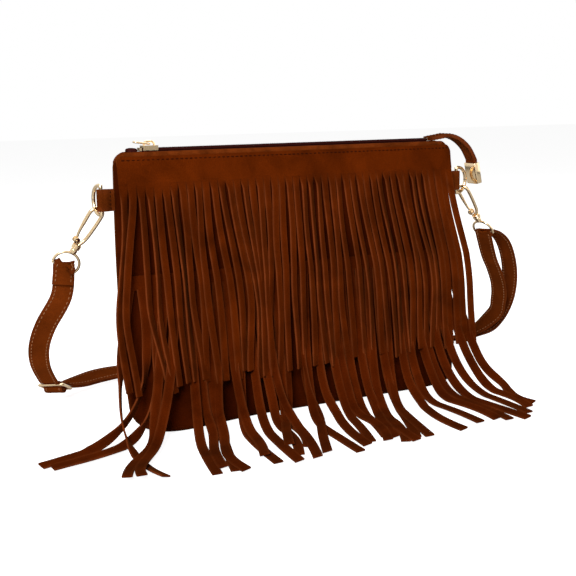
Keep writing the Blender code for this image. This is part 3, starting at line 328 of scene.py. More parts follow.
def pouch_panel(side):
    """One panel: down the face at the pouch's half depth, round the foot in a quarter turn, to the base seam.

    Each row is a ring along the outer face and back along the inner, with the side edges turned to the seam.
    """
    heights = POUCH_HEIGHT - (POUCH_HEIGHT - FOOT_RADIUS) * np.linspace(0, 1, 46) ** 1.25
    turns = np.radians(np.linspace(0, 90, 9))[1:]
    shares = signed_power(np.sin(np.linspace(-np.pi / 2, np.pi / 2, 61)), 0.8)
    rows = []
    for inset in (0.0, SUEDE):
        face_z = heights[:, None] + 0 * shares
        face_x = pouch_half_width(face_z) * shares - inset * shares**9
        face_y = pouch_half_depth(face_x, face_z) - inset
        base_depth = pouch_half_depth(pouch_half_width(0 * shares) * shares, 0 * shares)
        radius = np.minimum(FOOT_RADIUS, base_depth - SEAM_GAP)
        foot_z = radius - (radius - inset) * np.sin(turns)[:, None]
        foot_y = base_depth - radius + (radius - inset) * np.cos(turns)[:, None]
        foot_x = pouch_half_width(foot_z) * shares - inset * shares**9
        seam_y = np.full((1, len(shares)), SEAM_GAP / 2)
        x = np.concatenate((face_x, foot_x, foot_x[-1:]))
        y = np.concatenate((face_y, foot_y, seam_y))
        z = np.concatenate((face_z, foot_z, foot_z[-1:]))
        y[:, 0] = y[:, -1] = SEAM_GAP / 2
        slack = PANEL_SLACK * np.sin(31 * x + 9 * z) * np.sin(43 * z + 1.3)
        slack = slack * np.clip((0.13 - np.abs(x)) / 0.05, 0, 1)
        y = y + slack * np.clip(z / 0.04, 0, 1) * np.clip((POUCH_HEIGHT - z) / 0.04, 0, 1)
        forward_x, forward_y = foot_shift(x, z)
        rows.append(np.stack((x + forward_x, side * y + forward_y, z), -1))
    return two_faced(*rows)


# The front panel's material carries the painted shade; the back panel's has the suede's own brown.
panel_suede = suede_finish("panel_suede", FRONT_PANEL_SHADED_BROWN)
front_panel = add_piece("front_panel_suede", pouch_panel(-1), panel_suede)
back_suede = suede_finish("back_panel_suede", BACK_BROWN)
back_panel = add_piece("back_panel_suede", pouch_panel(1), back_suede)
for panel, node in ((front_panel, "front_panel"), (back_panel, "back_panel")):
    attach(panel, "bag")
    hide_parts(node)

# Mouth binding. A narrow strip of the same suede is folded over the top edge of each panel and sewn down with
# the fringe. It is a little paler, where hands have rubbed its fold.
BINDING_INSET = 0.0006
BINDING_DROP = 0.0028
BINDING_THICKNESS = 0.0007
BINDING_BROWN = (0.150, 0.0280, 0.0040)


def mouth_binding(side):
    """A U profile over the panel's edge, carried along the mouth and down its rounded corners."""
    run = np.linspace(-1, 1, 121)
    half = POUCH_TOP_WIDTH / 2 - BINDING_INSET
    x = half * np.sign(run) * (1 - (1 - np.abs(run)) ** 1.25)
    top = POUCH_HEIGHT - corner_cut(half + BINDING_INSET - np.abs(x), TOP_CORNER)
    depth = pouch_half_depth(x, np.minimum(top, POUCH_HEIGHT - 0.001))
    turn = np.radians(np.linspace(0, 180, 7))
    outer = SUEDE / 2 + BINDING_THICKNESS
    out = np.concatenate(([outer], outer * np.cos(turn), [-outer]))
    rise = np.concatenate(([-BINDING_DROP], outer * 0.8 * np.sin(turn), [-BINDING_DROP]))
    inner_out = out * (SUEDE / 2) / outer
    inner_rise = np.where(rise > 0, rise * 0.5, rise)
    out = np.concatenate((out, inner_out[::-1]))
    rise = np.concatenate((rise, inner_rise[::-1]))
    y = side * (depth[:, None] - SUEDE / 2 + out)
    return np.stack((x[:, None] + 0 * out, y, top[:, None] + rise), -1)[None]


binding_suede = suede_finish("binding_suede", BINDING_BROWN, brush_scale=90.0)
for side, side_name in ((-1, "front"), (1, "back")):
    binding = add_piece(f"mouth_binding_{side_name}", mouth_binding(side), binding_suede)
    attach(binding, "bag")
    panel = front_panel if side < 0 else back_panel

# Upper fringe. One sheet of suede sewn under the binding: an uncut header, then 46 strips cut with a blade.
# The strips hang like a blind, each with its left edge forward, and they lean and bunch as they go down.
UPPER_TOP = 0.190
UPPER_HEADER = 0.0172
UPPER_STRIPS = 46
UPPER_DROP = 0.157
UPPER_STRIP_WIDTH = 0.0054
UPPER_STAND_OFF = 0.0068
UPPER_TURN_DEG = 27
SLIT_RAMP = 0.009
UPPER_PITCH = (POUCH_TOP_WIDTH - 0.0012) / UPPER_STRIPS
FRINGE_BROWN = (0.108, 0.0155, 0.0010)
# How far the strips lean sideways, in millimetres: the root's place, the lean two thirds down, the tip's lean
UPPER_LEANS = (
    (-134, -9, -9),
    (-128, -13, -8),
    (-122, -1, 5),
    (-110, 1, 4),
    (-78, 1, 2),
    (-72, 4, 4),
    (-65, 8, 7),
    (-51, 10, 8),
    (-44, 6, 4),
    (-38, 2, 0),
    (-26, -5, -8),
    (-18, -5, -6),
    (0, -1, -2),
    (12, 0, 2),
    (30, 0, 3),
    (42, 7, 8),
    (60, 9, 9),
    (100, 12, 10),
    (112, 11, 11),
    (134, 14, 15),
)


def strip_profile(width, thickness):
    """A cut strip's section, along its front and back along its rear: across, out and its edges' mask."""
    rounding = 1 - 0.3 * thickness / width
    across = np.array((-1.0, -rounding, -0.5, 0.5, rounding, 1.0))
    out = np.array((0.28, 0.5, 0.52, 0.52, 0.5, 0.28))
    mask = np.array((1.0, 0.45, 0.0, 0.0, 0.45, 1.0))
    return (
        np.concatenate((across, across[::-1])) * width / 2,
        np.concatenate((out, -out)) * thickness,
        np.concatenate((mask, mask)),
    )


def upper_front(x, z):
    """The y of the upper sheet's middle: ahead of the pouch, standing off it where the lower tier begins."""
    lift = np.clip((UPPER_TOP - z) / (UPPER_TOP - 0.105), 0, 1)
    reach = pouch_half_width(np.clip(z, 0.02, POUCH_HEIGHT)) * (0.985 - 0.06 * lift)
    near = np.clip(np.abs(x), 0, reach)
    near = np.clip(near - 0.004 * (0.4 + 0.6 * lift), 0, None)
    stand = UPPER_STAND_OFF * lift**1.5
    return foot_shift(x, z)[1] - (pouch_half_depth(near, z) + SEAM_GAP + SUEDE / 2 + stand)


def upper_header():
    """The uncut band: a grid from the top edge down to the slits, as wide as the pouch at each height."""
    fall = np.linspace(0, 1, 12)[:, None]
    share = np.linspace(-1, 1, 93)[None]
    z = UPPER_TOP - (UPPER_HEADER + 0.0012) * fall + 0 * share
    half = np.minimum(pouch_half_width(z), POUCH_TOP_WIDTH / 2) - 0.0004
    x = half * share
    y = upper_front(x, z)
    dent = 0.00035 * np.sin(140 * x + 2) * np.sin(230 * (UPPER_TOP - z))
    return two_faced(*(np.stack((x, y + offset + dent, z), -1) for offset in (-SUEDE / 2, SUEDE / 2)))


def upper_strips():
    """Each strip: z falls evenly, x leans by the table above, y follows the sheet, and the section turns.

    The turn about the strip's length comes in just below the slit and brings its left edge forward. A seeded
    draw varies turn, length, wave and stand-off from strip to strip; the last few at the right lie flat.
    """
    draw = np.random.default_rng(21)
    k = np.arange(UPPER_STRIPS)[:, None]
    s = np.linspace(0, 1, 30)[None] ** 1.1
    rest = (k - (UPPER_STRIPS - 1) / 2) * UPPER_PITCH
    share = rest / (POUCH_TOP_WIDTH / 2)
    flat_end = smooth_step((share - 0.78) / 0.12)
    own = draw.normal(size=(6, UPPER_STRIPS, 1)) * (1 - 0.85 * flat_end)
    slit_drop = np.interp(share, (-1, -0.74, -0.70, 0.2, 1), (0.0045, 0.0045, 0.0, 0.0, 0.0))
    header = UPPER_HEADER + slit_drop
    length = UPPER_DROP - UPPER_HEADER + 0.0022 * own[0]
    z = UPPER_TOP - UPPER_HEADER - length * s
    root_mm, middle_mm, tip_mm = np.array(UPPER_LEANS, float).T
    middle = np.interp(rest, root_mm / 1000, middle_mm / 1000) + 0.0007 * own[1]
    tip = np.interp(rest, root_mm / 1000, tip_mm / 1000) + 0.0012 * own[2]
    lean = middle * smooth_step(s / 0.70) + (tip - middle) * smooth_step((s - 0.60) / 0.45)
    wave = 0.0009 * own[3] * np.sin(2 * np.pi * s * (1.1 + 0.2 * own[4])) * smooth_step(s * 3)
    x = rest + lean + wave
    opened = smooth_step((UPPER_TOP - z - header) / SLIT_RAMP)
    turn_deg = (UPPER_TURN_DEG + 8 * own[5] + 7 * np.sin(5 * s + 3 * own[4])) * (1 - 0.75 * flat_end)
    turn = opened * np.radians(turn_deg)
    stand = opened * (0.0004 * np.abs(own[2]) + 0.0012 * (k % 2))
    across, out, mask = strip_profile(1.0, SUEDE)
    cut = smooth_step((UPPER_TOP - z - header) / 0.004) * (1 - flat_end)
    width = UPPER_PITCH + (UPPER_STRIP_WIDTH - UPPER_PITCH) * cut
    side_x, side_y = np.cos(turn)[..., None], np.sin(turn)[..., None]
    along = across * width[..., None]
    px = x[..., None] + along * side_x + out * side_y
    py = (upper_front(x, z) - stand)[..., None] + along * side_y - out * side_x
    pz = z[..., None] + 0 * along
    edge = mask * opened[..., None]
    return np.stack((px, py, pz), -1), edge


fringe_suede = suede_finish("fringe_suede", FRINGE_BROWN)
strips, strip_edges = upper_strips()
header = add_piece("upper_fringe_header", upper_header(), fringe_suede)
upper_fringe = add_piece("upper_fringe_strips", strips, fringe_suede, edge=strip_edges)
for piece in (header, upper_fringe):
    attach(piece, "bag")
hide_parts("upper_fringe")

# Lower fringe. A second sheet sewn on half way down, behind the first: 35 wider and longer strips. They hang
# behind the upper ones, bend out under their tips and splay over the table in front of the bag.
LOWER_TOP = 0.109
LOWER_HEADER = 0.009
LOWER_STRIPS = 35
LOWER_STRIP_WIDTH = 0.0068
LOWER_PITCH = 0.267 / (LOWER_STRIPS - 1)
LOWER_STAND_OFF = 0.0067
LOWER_LAYER_PITCH = 0.0013
LOWER_HALF_WIDTH = 0.137
# The lower tier's brown is darker than the upper tier's: painted shade, for the shadow behind the upper
# strips.
LOWER_SHADED_BROWN = (0.086, 0.0118, 0.0010)
# Each strip from the left: its tip on the table, x and y in millimetres, its twist in degrees, the layer it
# lies in, and how far it bows sideways above the table, in millimetres
LOWER_STRIP_LIES = (
    (-149, -114, -64, 0, -34),
    (-213, -59, -62, 1, 7),
    (-208, -69, -56, 2, 5),
    (-172, -111, 8, 3, -7),
    (-165, -116, 8, 4, -9),
    (-120, -124, 15, 0, 0),
    (-112, -117, 48, 1, 0),
    (-107, -124, 10, 0, 0),
    (-101, -128, 40, 1, 0),
    (-82, -112, 58, 2, 0),
    (-78, -124, 15, 0, 0),
    (-66, -130, 50, 1, 0),
    (-60, -117, 18, 0, 0),
    (-52, -129, 60, 1, 0),
    (-58, -101, 25, 2, 0),
    (-48, -106, -20, 0, 0),
    (-41, -123, 62, 1, 0),
    (-22, -131, 18, 0, 0),
    (-11, -124, 50, 1, 0),
    (-5, -117, 12, 0, 0),
    (4, -122, 45, 1, 0),
    (9, -113, 22, 0, 0),
    (14, -119, 60, 1, 0),
    (14, -128, 10, 0, 0),
    (22, -132, 40, 1, 0),
    (27, -124, 15, 0, 0),
    (34, -129, 25, 1, 0),
    (65, -127, 40, 0, 0),
    (82, -121, 15, 1, 0),
    (98, -119, 55, 0, 0),
    (104, -126, 10, 1, 0),
    (119, -128, 45, 0, 3),
    (127, -120, 12, 1, 6),
    (137, -107, 50, 0, 13),
    (148, -102, 40, 1, 22),
)


def lower_strips():
    """Each strip: a cubic from its root, straight down before the pouch, then out along the table to its tip.

    p(t) = root(1-t)^3 + 3 foot(1-t)^2 t + 3 lie(1-t)t^2 + tip t^3. The section lies across the run, turned
    about it by the strip's own twist, which comes in below the upper tips and nearly dies out on the table.
    """
    draw = np.random.default_rng(8)
    own = draw.normal(size=(5, LOWER_STRIPS, 1))
    tip_x, tip_y, twist_deg, layer, bow = np.array(LOWER_STRIP_LIES, float).T
    k = np.arange(LOWER_STRIPS)
    root_x = (k - (LOWER_STRIPS - 1) / 2) * LOWER_PITCH
    root_z = np.full(LOWER_STRIPS, LOWER_TOP - LOWER_HEADER)
    near = np.clip(np.abs(root_x) - LOWER_STRIP_WIDTH / 2, 0, None)
    root_y = foot_shift(root_x, root_z)[1] - (pouch_half_depth(near, root_z) + SUEDE)
    level = SUEDE / 2 + LOWER_LAYER_PITCH * layer
    root = np.stack((root_x, root_y, root_z), -1)[:, None]
    tip = np.stack((tip_x / 1000, tip_y / 1000, level), -1)[:, None]
    lean = tip[..., 0] - root[..., 0]
    foot_z = np.full((LOWER_STRIPS, 1), -0.015)
    ahead = np.maximum(pouch_half_depth(near, root_z), pouch_half_depth(near, 0.03)) + SUEDE
    ahead -= foot_shift(root_x, 0.03)[1]
    foot_y = -ahead[:, None] - LOWER_STAND_OFF - 0.0009 * (layer[:, None] - 0.5)
    foot_x = root[..., 0] + (0.06 + 0.03 * own[0]) * lean + 0.003 * own[1] + bow[:, None] / 1000
    foot = np.stack((foot_x, foot_y, foot_z), -1)
    reach = 0.68 + 0.05 * own[2] - 8 * np.clip(np.abs(lean) - 0.045, 0, 0.032) - 0.01 * np.abs(bow[:, None])
    lie = tip + (foot - tip) * reach[..., None]
    lie[..., 0] += 0.010 * own[3]
    lie[..., 2] = level[:, None]
    t = np.linspace(0, 1, 46)[None, :, None]
    path = root * (1 - t) ** 3 + 3 * foot * (1 - t) ** 2 * t + 3 * lie * (1 - t) * t**2 + tip * t**3
    sag = smooth_step((0.006 - path[..., 2]) / 0.006)
    path[..., 2] = path[..., 2] * (1 - sag) + np.maximum(path[..., 2], level[:, None]) * sag
    path[..., 0] += 0.0016 * own[4] * np.sin(9 * t[..., 0]) * smooth_step((t[..., 0] - 0.3) * 3)
    tangent = np.gradient(path, axis=1)
    tangent /= np.linalg.norm(tangent, axis=2, keepdims=True)
    side = np.array((1.0, 0.0, 0.0)) - tangent * tangent[..., :1]
    side /= np.linalg.norm(side, axis=2, keepdims=True)
    face = np.cross(tangent, side)
    bent_out = smooth_step((0.060 - path[..., 2]) / 0.025)
    laid = smooth_step((path[..., 2] - level[:, None]) / 0.010)
    rest_twist = 0.16 * np.sin(7 * t[..., 0] + 5 * own[4])
    twist = np.radians(twist_deg)[:, None] * bent_out * (0.25 + 0.75 * laid) + rest_twist * laid * bent_out
    turned_side = side * np.cos(twist)[..., None] + face * np.sin(twist)[..., None]
    turned_face = face * np.cos(twist)[..., None] - side * np.sin(twist)[..., None]
    across, out, mask = strip_profile(LOWER_STRIP_WIDTH, SUEDE)
    sideways = turned_side[:, :, None] * across[:, None]
    outwards = turned_face[:, :, None] * out[:, None]
    points = path[:, :, None] + sideways + outwards
    lift = np.clip(0.0001 - points[..., 2].min(axis=2), 0, None)
    points[..., 2] += lift[..., None]
    return points, mask


def lower_header():
    """The sewn-on band of the lower sheet: a shallow grid that follows the front panel."""
    fall = np.linspace(0, 1, 6)[:, None]
    share = np.linspace(-1, 1, 81)[None]
    x = LOWER_HALF_WIDTH * share + 0 * fall
    z = LOWER_TOP - (LOWER_HEADER + 0.001) * fall + 0 * share
    depth = pouch_half_depth(np.clip(np.abs(x) - 0.004, 0, None), z) + SUEDE / 2 + 0.0004 * fall
    y = foot_shift(x, z)[1] - depth
    return two_faced(*(np.stack((x, y + offset, z), -1) for offset in (-SUEDE / 2, SUEDE / 2)))


lower_points, lower_edges = lower_strips()
# The lower tier's material carries that painted shade.
lower_shaded_suede = suede_finish("lower_fringe_suede", LOWER_SHADED_BROWN)
lower_band = add_piece("lower_fringe_header", lower_header(), lower_shaded_suede)
lower_fringe = add_piece("lower_fringe_strips", lower_points, lower_shaded_suede, edge=lower_edges)
for piece in (lower_band, lower_fringe):
    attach(piece, "bag")
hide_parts("lower_fringe")

# Seam thread. One row of dark brown thread runs under the mouth binding on each side of the bag. It holds the
# binding, the upper fringe and the zip's tape to the panel.
MOUTH_STITCH_PITCH = 0.0035
MOUTH_STITCH_LEVEL = 0.1876
MOUTH_STITCH_REACH = 0.1330
MOUTH_STITCH_LENGTH = 0.0023
MOUTH_THREAD = 0.00034
SEAM_THREAD_BROWN = (0.030, 0.007, 0.003)


def thread_finish(name, colour):
    """Twisted polyester thread, or dull nylon."""
    return finish(name, {"Base Color": (*colour, 1), "Roughness": 0.8, "Specular IOR Level": 0.0})[0]


def stitch_run(name, middles, along, out, length, radius, material):
    """Short threads: each a capsule on its middle, lying along its direction, its ends sunk in the suede."""
    reach = np.array((-0.5, -0.32, 0.32, 0.5)) * length
    swell = np.array((0.4, 1.0, 1.0, 0.4)) * radius
    bow = np.array((-1.0, 0.3, 0.3, -1.0)) * radius
    turn = np.radians(np.arange(6) * 60 + 30)
    across = np.cross(along, out)
    centre = middles[:, None] + along[:, None] * reach[:, None] + out[:, None] * bow[:, None]
    ring = across[:, None] * np.cos(turn)[:, None] + out[:, None] * np.sin(turn)[:, None]
    return add_piece(name, centre[:, :, None] + ring[:, None] * swell[:, None, None], material, sharp_deg=80)


seam_thread = thread_finish("seam_thread", SEAM_THREAD_BROWN)
stitch_x = np.arange(-MOUTH_STITCH_REACH, MOUTH_STITCH_REACH + 0.0001, MOUTH_STITCH_PITCH)
stitch_z = MOUTH_STITCH_LEVEL + 0 * stitch_x
for side, side_name in ((-1, "front"), (1, "back")):
    on_fringe, on_panel = upper_front(stitch_x, stitch_z) - SUEDE / 2, pouch_half_depth(stitch_x, stitch_z)
    middles = np.stack((stitch_x, on_fringe if side < 0 else on_panel, stitch_z), -1)
    along = np.tile((1.0, 0.0, 0.0), (len(stitch_x), 1))
    out = np.tile((0.0, float(side), 0.0), (len(stitch_x), 1))
    stitches = stitch_run(
        f"mouth_stitches_{side_name}", middles, along, out, MOUTH_STITCH_LENGTH, MOUTH_THREAD, seam_thread
    )
    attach(stitches, "bag")

# Lining. A black cloth pouch is sewn to the zip's tapes. It is a little smaller than the suede one and falls
# in soft folds.
LINING_CLOTH = 0.0005
LINING_TOP = 0.1885
LINING_SIDE_INSET = 0.0125
LINING_CLEARANCE = 0.0034
LINING_BLACK = (0.012, 0.010, 0.009)


def lining_pouch():
    """Rings down the outside, round the fold at the foot and up the inside: x by cos(a)^0.5, y sin(a)^0.3."""
    turn = np.radians((np.arange(96) + 0.5) * 360 / 96)
    down = np.linspace(0, 1, 26)
    heights = LINING_TOP - (LINING_TOP - 0.0030) * down
    rows = []
    for inset in (0.0, LINING_CLOTH):
        z = heights[:, None] + inset * down[:, None] ** 8 + 0 * turn
        half = pouch_half_width(np.maximum(z, BASE_CORNER)) - LINING_SIDE_INSET - inset
        x = half * signed_power(np.cos(turn), 0.5)
        closing = 1 - smooth_step((0.022 - z) / 0.020) * 0.97
        room = pouch_half_depth(x, z) - LINING_CLEARANCE - inset
        folds = 0.0004 * (1 + np.sin(90 * x + 14 * z)) * smooth_step((LINING_TOP - z) / 0.03)
        y = signed_power(np.sin(turn), 0.3) * (room - folds) * closing
        forward_x, forward_y = foot_shift(x, z)
        rows.append(np.stack((x + forward_x, y + forward_y, z), -1))
    return np.concatenate((rows[0], rows[1][::-1]))[None]


def cloth_finish(name, colour, threads_each_metre):
    """Plain woven cloth: two crossed sets of fine threads as a bump, and a painted highlight on their crowns.
    """
    made, nodes, links, shader = finish(name, {"Roughness": 0.85, "Specular IOR Level": 0.0})
    where = nodes.new("ShaderNodeTexCoord")
    sets = []
    for direction in ("X", "Z"):
        threads = nodes.new("ShaderNodeTexWave")
        threads.bands_direction = direction
        threads.inputs["Scale"].default_value = threads_each_metre / 20
        links.new(where.outputs["Object"], threads.inputs["Vector"])
        sets.append(threads)
    weave = nodes.new("ShaderNodeMath")
    weave.operation = "MULTIPLY"
    for threads, socket in zip(sets, weave.inputs):
        links.new(threads.outputs["Fac"], socket)
    # Painted highlight: where the threads' crowns meet, the colour is mixed towards one 1.9 times as bright,
    # a little paler.
    crown_highlight = nodes.new("ShaderNodeMix")
    crown_highlight.data_type = "RGBA"
    crown_highlight.inputs["A"].default_value = (*colour, 1)
    crown_highlight.inputs["B"].default_value = (*(1.9 * np.array(colour)), 1)
    links.new(weave.outputs[0], crown_highlight.inputs["Factor"])
    links.new(crown_highlight.outputs["Result"], shader.inputs["Base Color"])
    relief = nodes.new("ShaderNodeBump")
    relief.inputs["Strength"].default_value = 0.4
    relief.inputs["Distance"].default_value = 0.0002
    links.new(weave.outputs[0], relief.inputs["Height"])
    links.new(relief.outputs[0], shader.inputs["Normal"])
    return made


lining_cloth = cloth_finish("lining_cloth", LINING_BLACK, 1500)
lining = add_piece("lining_pouch", lining_pouch(), lining_cloth, looped=True)
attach(lining, "bag")
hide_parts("lining")

# Zip. Two dark maroon tapes are sewn inside the mouth, each with a nylon coil round a cord on its free edge.
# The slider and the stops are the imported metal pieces. The tapes' left ends are folded up in a lump beside
# the slider.
ZIP_LEFT = -0.1265
ZIP_RIGHT = 0.1225
ZIP_LEVEL = 0.1932
ZIP_TAPE = 0.0005
ZIP_TAPE_DROP = 0.0142
COIL_LEFT = -0.1175
COIL_RIGHT = 0.1170
COIL_PITCH = 0.0015
COIL_THREAD = 0.00042
COIL_OUT = 0.0015
COIL_LIFT = 0.0014
COIL_HALF_WIDTH = 0.00056
COIL_HALF_HEIGHT = 0.00066
CORE_LIFT = 0.0009
CORE_RADIUS = 0.00088
LUMP_CENTRE = (-0.1247, 0.0, 0.1935)
LUMP_HALF = (0.0036, 0.0040, 0.0021)
ZIP_MAROON = (0.040, 0.008, 0.0065)
GOLD = (0.80, 0.60, 0.36)


def wire(name, line, normal, radius, material, closed=False, sides=12):
    """A round section carried along a line that lies in one plane: a ring is side cos(a) + normal sin(a)."""
    tangent = np.roll(line, -1, 0) - np.roll(line, 1, 0) if closed else np.gradient(line, axis=0)
    across = np.cross(tangent, normal)
    across /= np.linalg.norm(across, axis=1, keepdims=True)
    turn = (np.arange(sides) + 0.5) * 2 * np.pi / sides
    ring = across[:, None] * np.cos(turn)[:, None] + np.asarray(normal) * np.sin(turn)[:, None]
    radius = np.broadcast_to(radius, len(line))
    return add_piece(name, (line[:, None] + ring * radius[:, None, None])[None], material, looped=closed)


def zip_tape(side):
    """One tape: level from the coil to the panel, round a small bend and down inside the mouth."""
    run = np.linspace(-1, 1, 81)
    x = ZIP_LEFT + (ZIP_RIGHT - ZIP_LEFT) * (1 + np.sin(run * np.pi / 2)) / 2
    rings = []
    for inset in (0.0, ZIP_TAPE):
        top = ZIP_LEVEL - inset
        reach = pouch_half_depth(x, np.full(len(x), POUCH_HEIGHT)) - SUEDE - 2 * SEAM_GAP - inset
        foot = pouch_half_depth(x, np.full(len(x), ZIP_LEVEL - ZIP_TAPE_DROP)) - SUEDE - 2 * SEAM_GAP - inset
        bend = 0.0006 - inset / 2
        reach = np.maximum(reach, 0.0012 + bend)
        line_y = (0 * x + 0.0010, reach - bend, reach - 0.3 * bend, reach, foot)
        line_z = (top, top, top - 0.3 * bend, top - bend, ZIP_LEVEL - ZIP_TAPE_DROP)
        rings.append(np.stack([np.stack((x, side * y, 0 * x + z), -1) for y, z in zip(line_y, line_z)], 1))
    return two_faced(*rings)


zip_cloth = cloth_finish("zip_cloth", ZIP_MAROON, 2200)
coil_nylon = thread_finish("coil_nylon", ZIP_MAROON)
champagne_gold, *_ = finish("champagne_gold", {"Base Color": (*GOLD, 1), "Metallic": 1.0, "Roughness": 0.16})
coil_turn = np.arange(COIL_LEFT + 0.0006, COIL_RIGHT - 0.0006, COIL_PITCH / 10)
for side, side_name in ((-1, "front"), (1, "back")):
    tape = add_piece(f"zip_tape_{side_name}_cloth", zip_tape(side), zip_cloth)
    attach(tape, "bag")
    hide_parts(f"zip_tape_{side_name}")
    angle = 2 * np.pi * coil_turn / COIL_PITCH
    coil_y = side * COIL_OUT + COIL_HALF_WIDTH * np.cos(angle)
    coil_z = ZIP_LEVEL + COIL_LIFT + COIL_HALF_HEIGHT * np.sin(angle)
    coil_line = np.stack((coil_turn, coil_y, coil_z), -1)
    coil = wire(f"zip_coil_{side_name}_turns", coil_line, (1.0, 0.0, 0.0), COIL_THREAD, coil_nylon, sides=6)
    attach(coil, "bag")
    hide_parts(f"zip_coil_{side_name}")
    core_line = np.array([(x, side * COIL_OUT, ZIP_LEVEL + CORE_LIFT) for x in (COIL_LEFT, 0.0, COIL_RIGHT)])
    core = wire(f"zip_coil_{side_name}_core", core_line, (0.0, 0.0, 1.0), CORE_RADIUS, coil_nylon, sides=8)
    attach(core, "bag")
for node in ("zip_slider", "zip_top_stop_front", "zip_top_stop_back", "zip_bottom_stop"):
    frame["nodes"][node].data.materials[0] = champagne_gold

lump_turn = np.linspace(-np.pi / 2, np.pi / 2, 13)[:, None]
lump_ring = ((np.arange(20) + 0.5) * np.pi / 10)[None]
lump_y = signed_power(np.cos(lump_ring), 0.5)
lump_z = signed_power(np.sin(lump_ring), 0.6)
lump_size = np.abs(np.cos(lump_turn)) ** 0.4 + 0.05
lump_x = LUMP_CENTRE[0] + LUMP_HALF[0] * np.sin(lump_turn) + 0 * lump_ring
lump_y = LUMP_HALF[1] * lump_y * lump_size
lump_z = LUMP_CENTRE[2] + LUMP_HALF[2] * lump_z * lump_size
lump = np.stack((lump_x, lump_y, lump_z), -1)[None]
tape_end = add_piece("zip_tape_folded_end", lump, zip_cloth)
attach(tape_end, "bag")

# Zip pull. A bent wire loop on the slider's bridge, lying back over the tapes' folded end.
PULL_LENGTH = 0.0125
PULL_WIDTH = 0.0062
PULL_WIRE = 0.0007
PULL_SLOPE_DEG = 8.0

joints = {joint["name"]: joint for joint in frame["joints"]}
pull_turn = np.linspace(0, 2 * np.pi, 64, endpoint=False)
pull_out = -(PULL_LENGTH / 2 - PULL_WIRE) * (1 - signed_power(np.cos(pull_turn), 0.8))
pull_side = (PULL_WIDTH / 2 - PULL_WIRE) * signed_power(np.sin(pull_turn), 0.7)
slope = np.radians(PULL_SLOPE_DEG)
pull_line = np.stack((pull_out * np.cos(slope), pull_side, -pull_out * np.sin(slope)), -1)
pull_line += joints["zip_pull_swing"]["pos_m"]
pull_normal = (np.sin(slope), 0.0, np.cos(slope))
pull = wire("zip_pull_wire", pull_line, pull_normal, PULL_WIRE, champagne_gold, closed=True, sides=14)
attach(pull, "pull")
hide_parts("zip_pull")

# Zip tail. The tape ends are wrapped in a narrow suede tab, which arches over the pouch's corner and hangs
# down, its end pinched in a folded metal cap.
TAIL_ROUTE = (
    (0.1197, 0.0, 0.1950),
    (0.1290, 0.0, 0.1962),
    (0.1370, 0.0, 0.1970),
    (0.1470, 0.0, 0.1940),
    (0.1560, 0.0, 0.1870),
    (0.1620, 0.0, 0.1775),
)
TAIL_WIDTH = 0.012
TAIL_THICKNESS = 0.003
CAP_LENGTH = 0.017
CAP_WALL = 0.0009
TAIL_STITCH_PITCH = 0.003
TAIL_OPEN_POINTS = 44
TAIL_BROWN = (0.125, 0.0230, 0.0030)


def smooth_line(points, steps, closed=False):
    """A Catmull-Rom curve through the points: half of 2b + (c-a)t + (2a-5b+4c-d)t^2 + (3b-3c+d-a)t^3."""
    points = np.asarray(points, float)
    before = points[-1:] if closed else 2 * points[:1] - points[1:2]
    after = points[:2] if closed else 2 * points[-1:] - points[-2:-1]
    padded = np.concatenate((before, points, after))
    t = np.linspace(0, 1, steps, endpoint=False)[:, None]
    spans = []
    for a, b, c, d in zip(padded, padded[1:], padded[2:], padded[3:]):
        square, cube = 2 * a - 5 * b + 4 * c - d, 3 * b - 3 * c + d - a
        spans.append((2 * b + (c - a) * t + square * t**2 + cube * t**3) / 2)
    return np.concatenate(spans if closed else [*spans, points[-1:]])


def band(line, across, width, thickness):
    """The cut strip's section carried along a line: its points, its edge mask and the three directions."""
    tangent = np.gradient(line, axis=0)
    tangent /= np.linalg.norm(tangent, axis=1, keepdims=True)
    side = across - tangent * (across * tangent).sum(1, keepdims=True)
    side /= np.linalg.norm(side, axis=1, keepdims=True)
    face = np.cross(tangent, side)
    shares, out, mask = strip_profile(width, thickness)
    points = line[:, None] + side[:, None] * shares[:, None] + face[:, None] * out[:, None]
    return points[None], mask, tangent, side, face


def edge_stitches(name, line, directions, width, thickness, pitch, thread, inset=0.0016, radius=0.00024):
    """Two rows of stitches, one along each edge of a band, at an even pitch along its line."""
    tangent, side, face = directions
    run = np.concatenate(((0.0,), np.cumsum(np.linalg.norm(np.diff(line, axis=0), axis=1))))
    places = np.arange(pitch, run[-1] - pitch / 2, pitch)

    def read(rows):
        return np.stack([np.interp(places, run, rows[:, axis]) for axis in range(3)], -1)

    middles, along, across, out = read(line), read(tangent), read(side), read(face)
    rows = []
    for sign in (1, -1):
        for edge in (-1, 1):
            sideways = across * edge * (width / 2 - inset)
            rows.append((middles + sideways + out * sign * thickness / 2, sign * out))
    centres = np.concatenate([row for row, _ in rows])
    outward = np.concatenate([normal for _, normal in rows])
    return stitch_run(name, centres, np.tile(along, (len(rows), 1)), outward, pitch * 0.68, radius, thread)


tail_aim = np.array((0.20, 0.0, -0.98)) / np.linalg.norm((0.20, 0.0, -0.98))
cap_mouth = np.array(TAIL_ROUTE[-1]) + tail_aim * 0.003
cap_end = cap_mouth + tail_aim * CAP_LENGTH
tail_line = smooth_line([*TAIL_ROUTE, cap_mouth, cap_end - tail_aim * 0.0015], 8)
tail_across = np.tile((0.0, 1.0, 0.0), (len(tail_line), 1))
tail_points, tail_mask, *tail_directions = band(tail_line, tail_across, TAIL_WIDTH, TAIL_THICKNESS)
tail_suede = suede_finish("tail_suede", TAIL_BROWN)
tail = add_piece("zip_tail_suede", tail_points, tail_suede, edge=tail_mask)
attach(tail, "bag")
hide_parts("zip_end_tab")
open_line = tail_line[:TAIL_OPEN_POINTS]
open_directions = [rows[:TAIL_OPEN_POINTS] for rows in tail_directions]
tail_threads = edge_stitches(
    "zip_tail_stitches", open_line, open_directions, TAIL_WIDTH, TAIL_THICKNESS, TAIL_STITCH_PITCH,
    seam_thread,
)
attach(tail_threads, "bag")

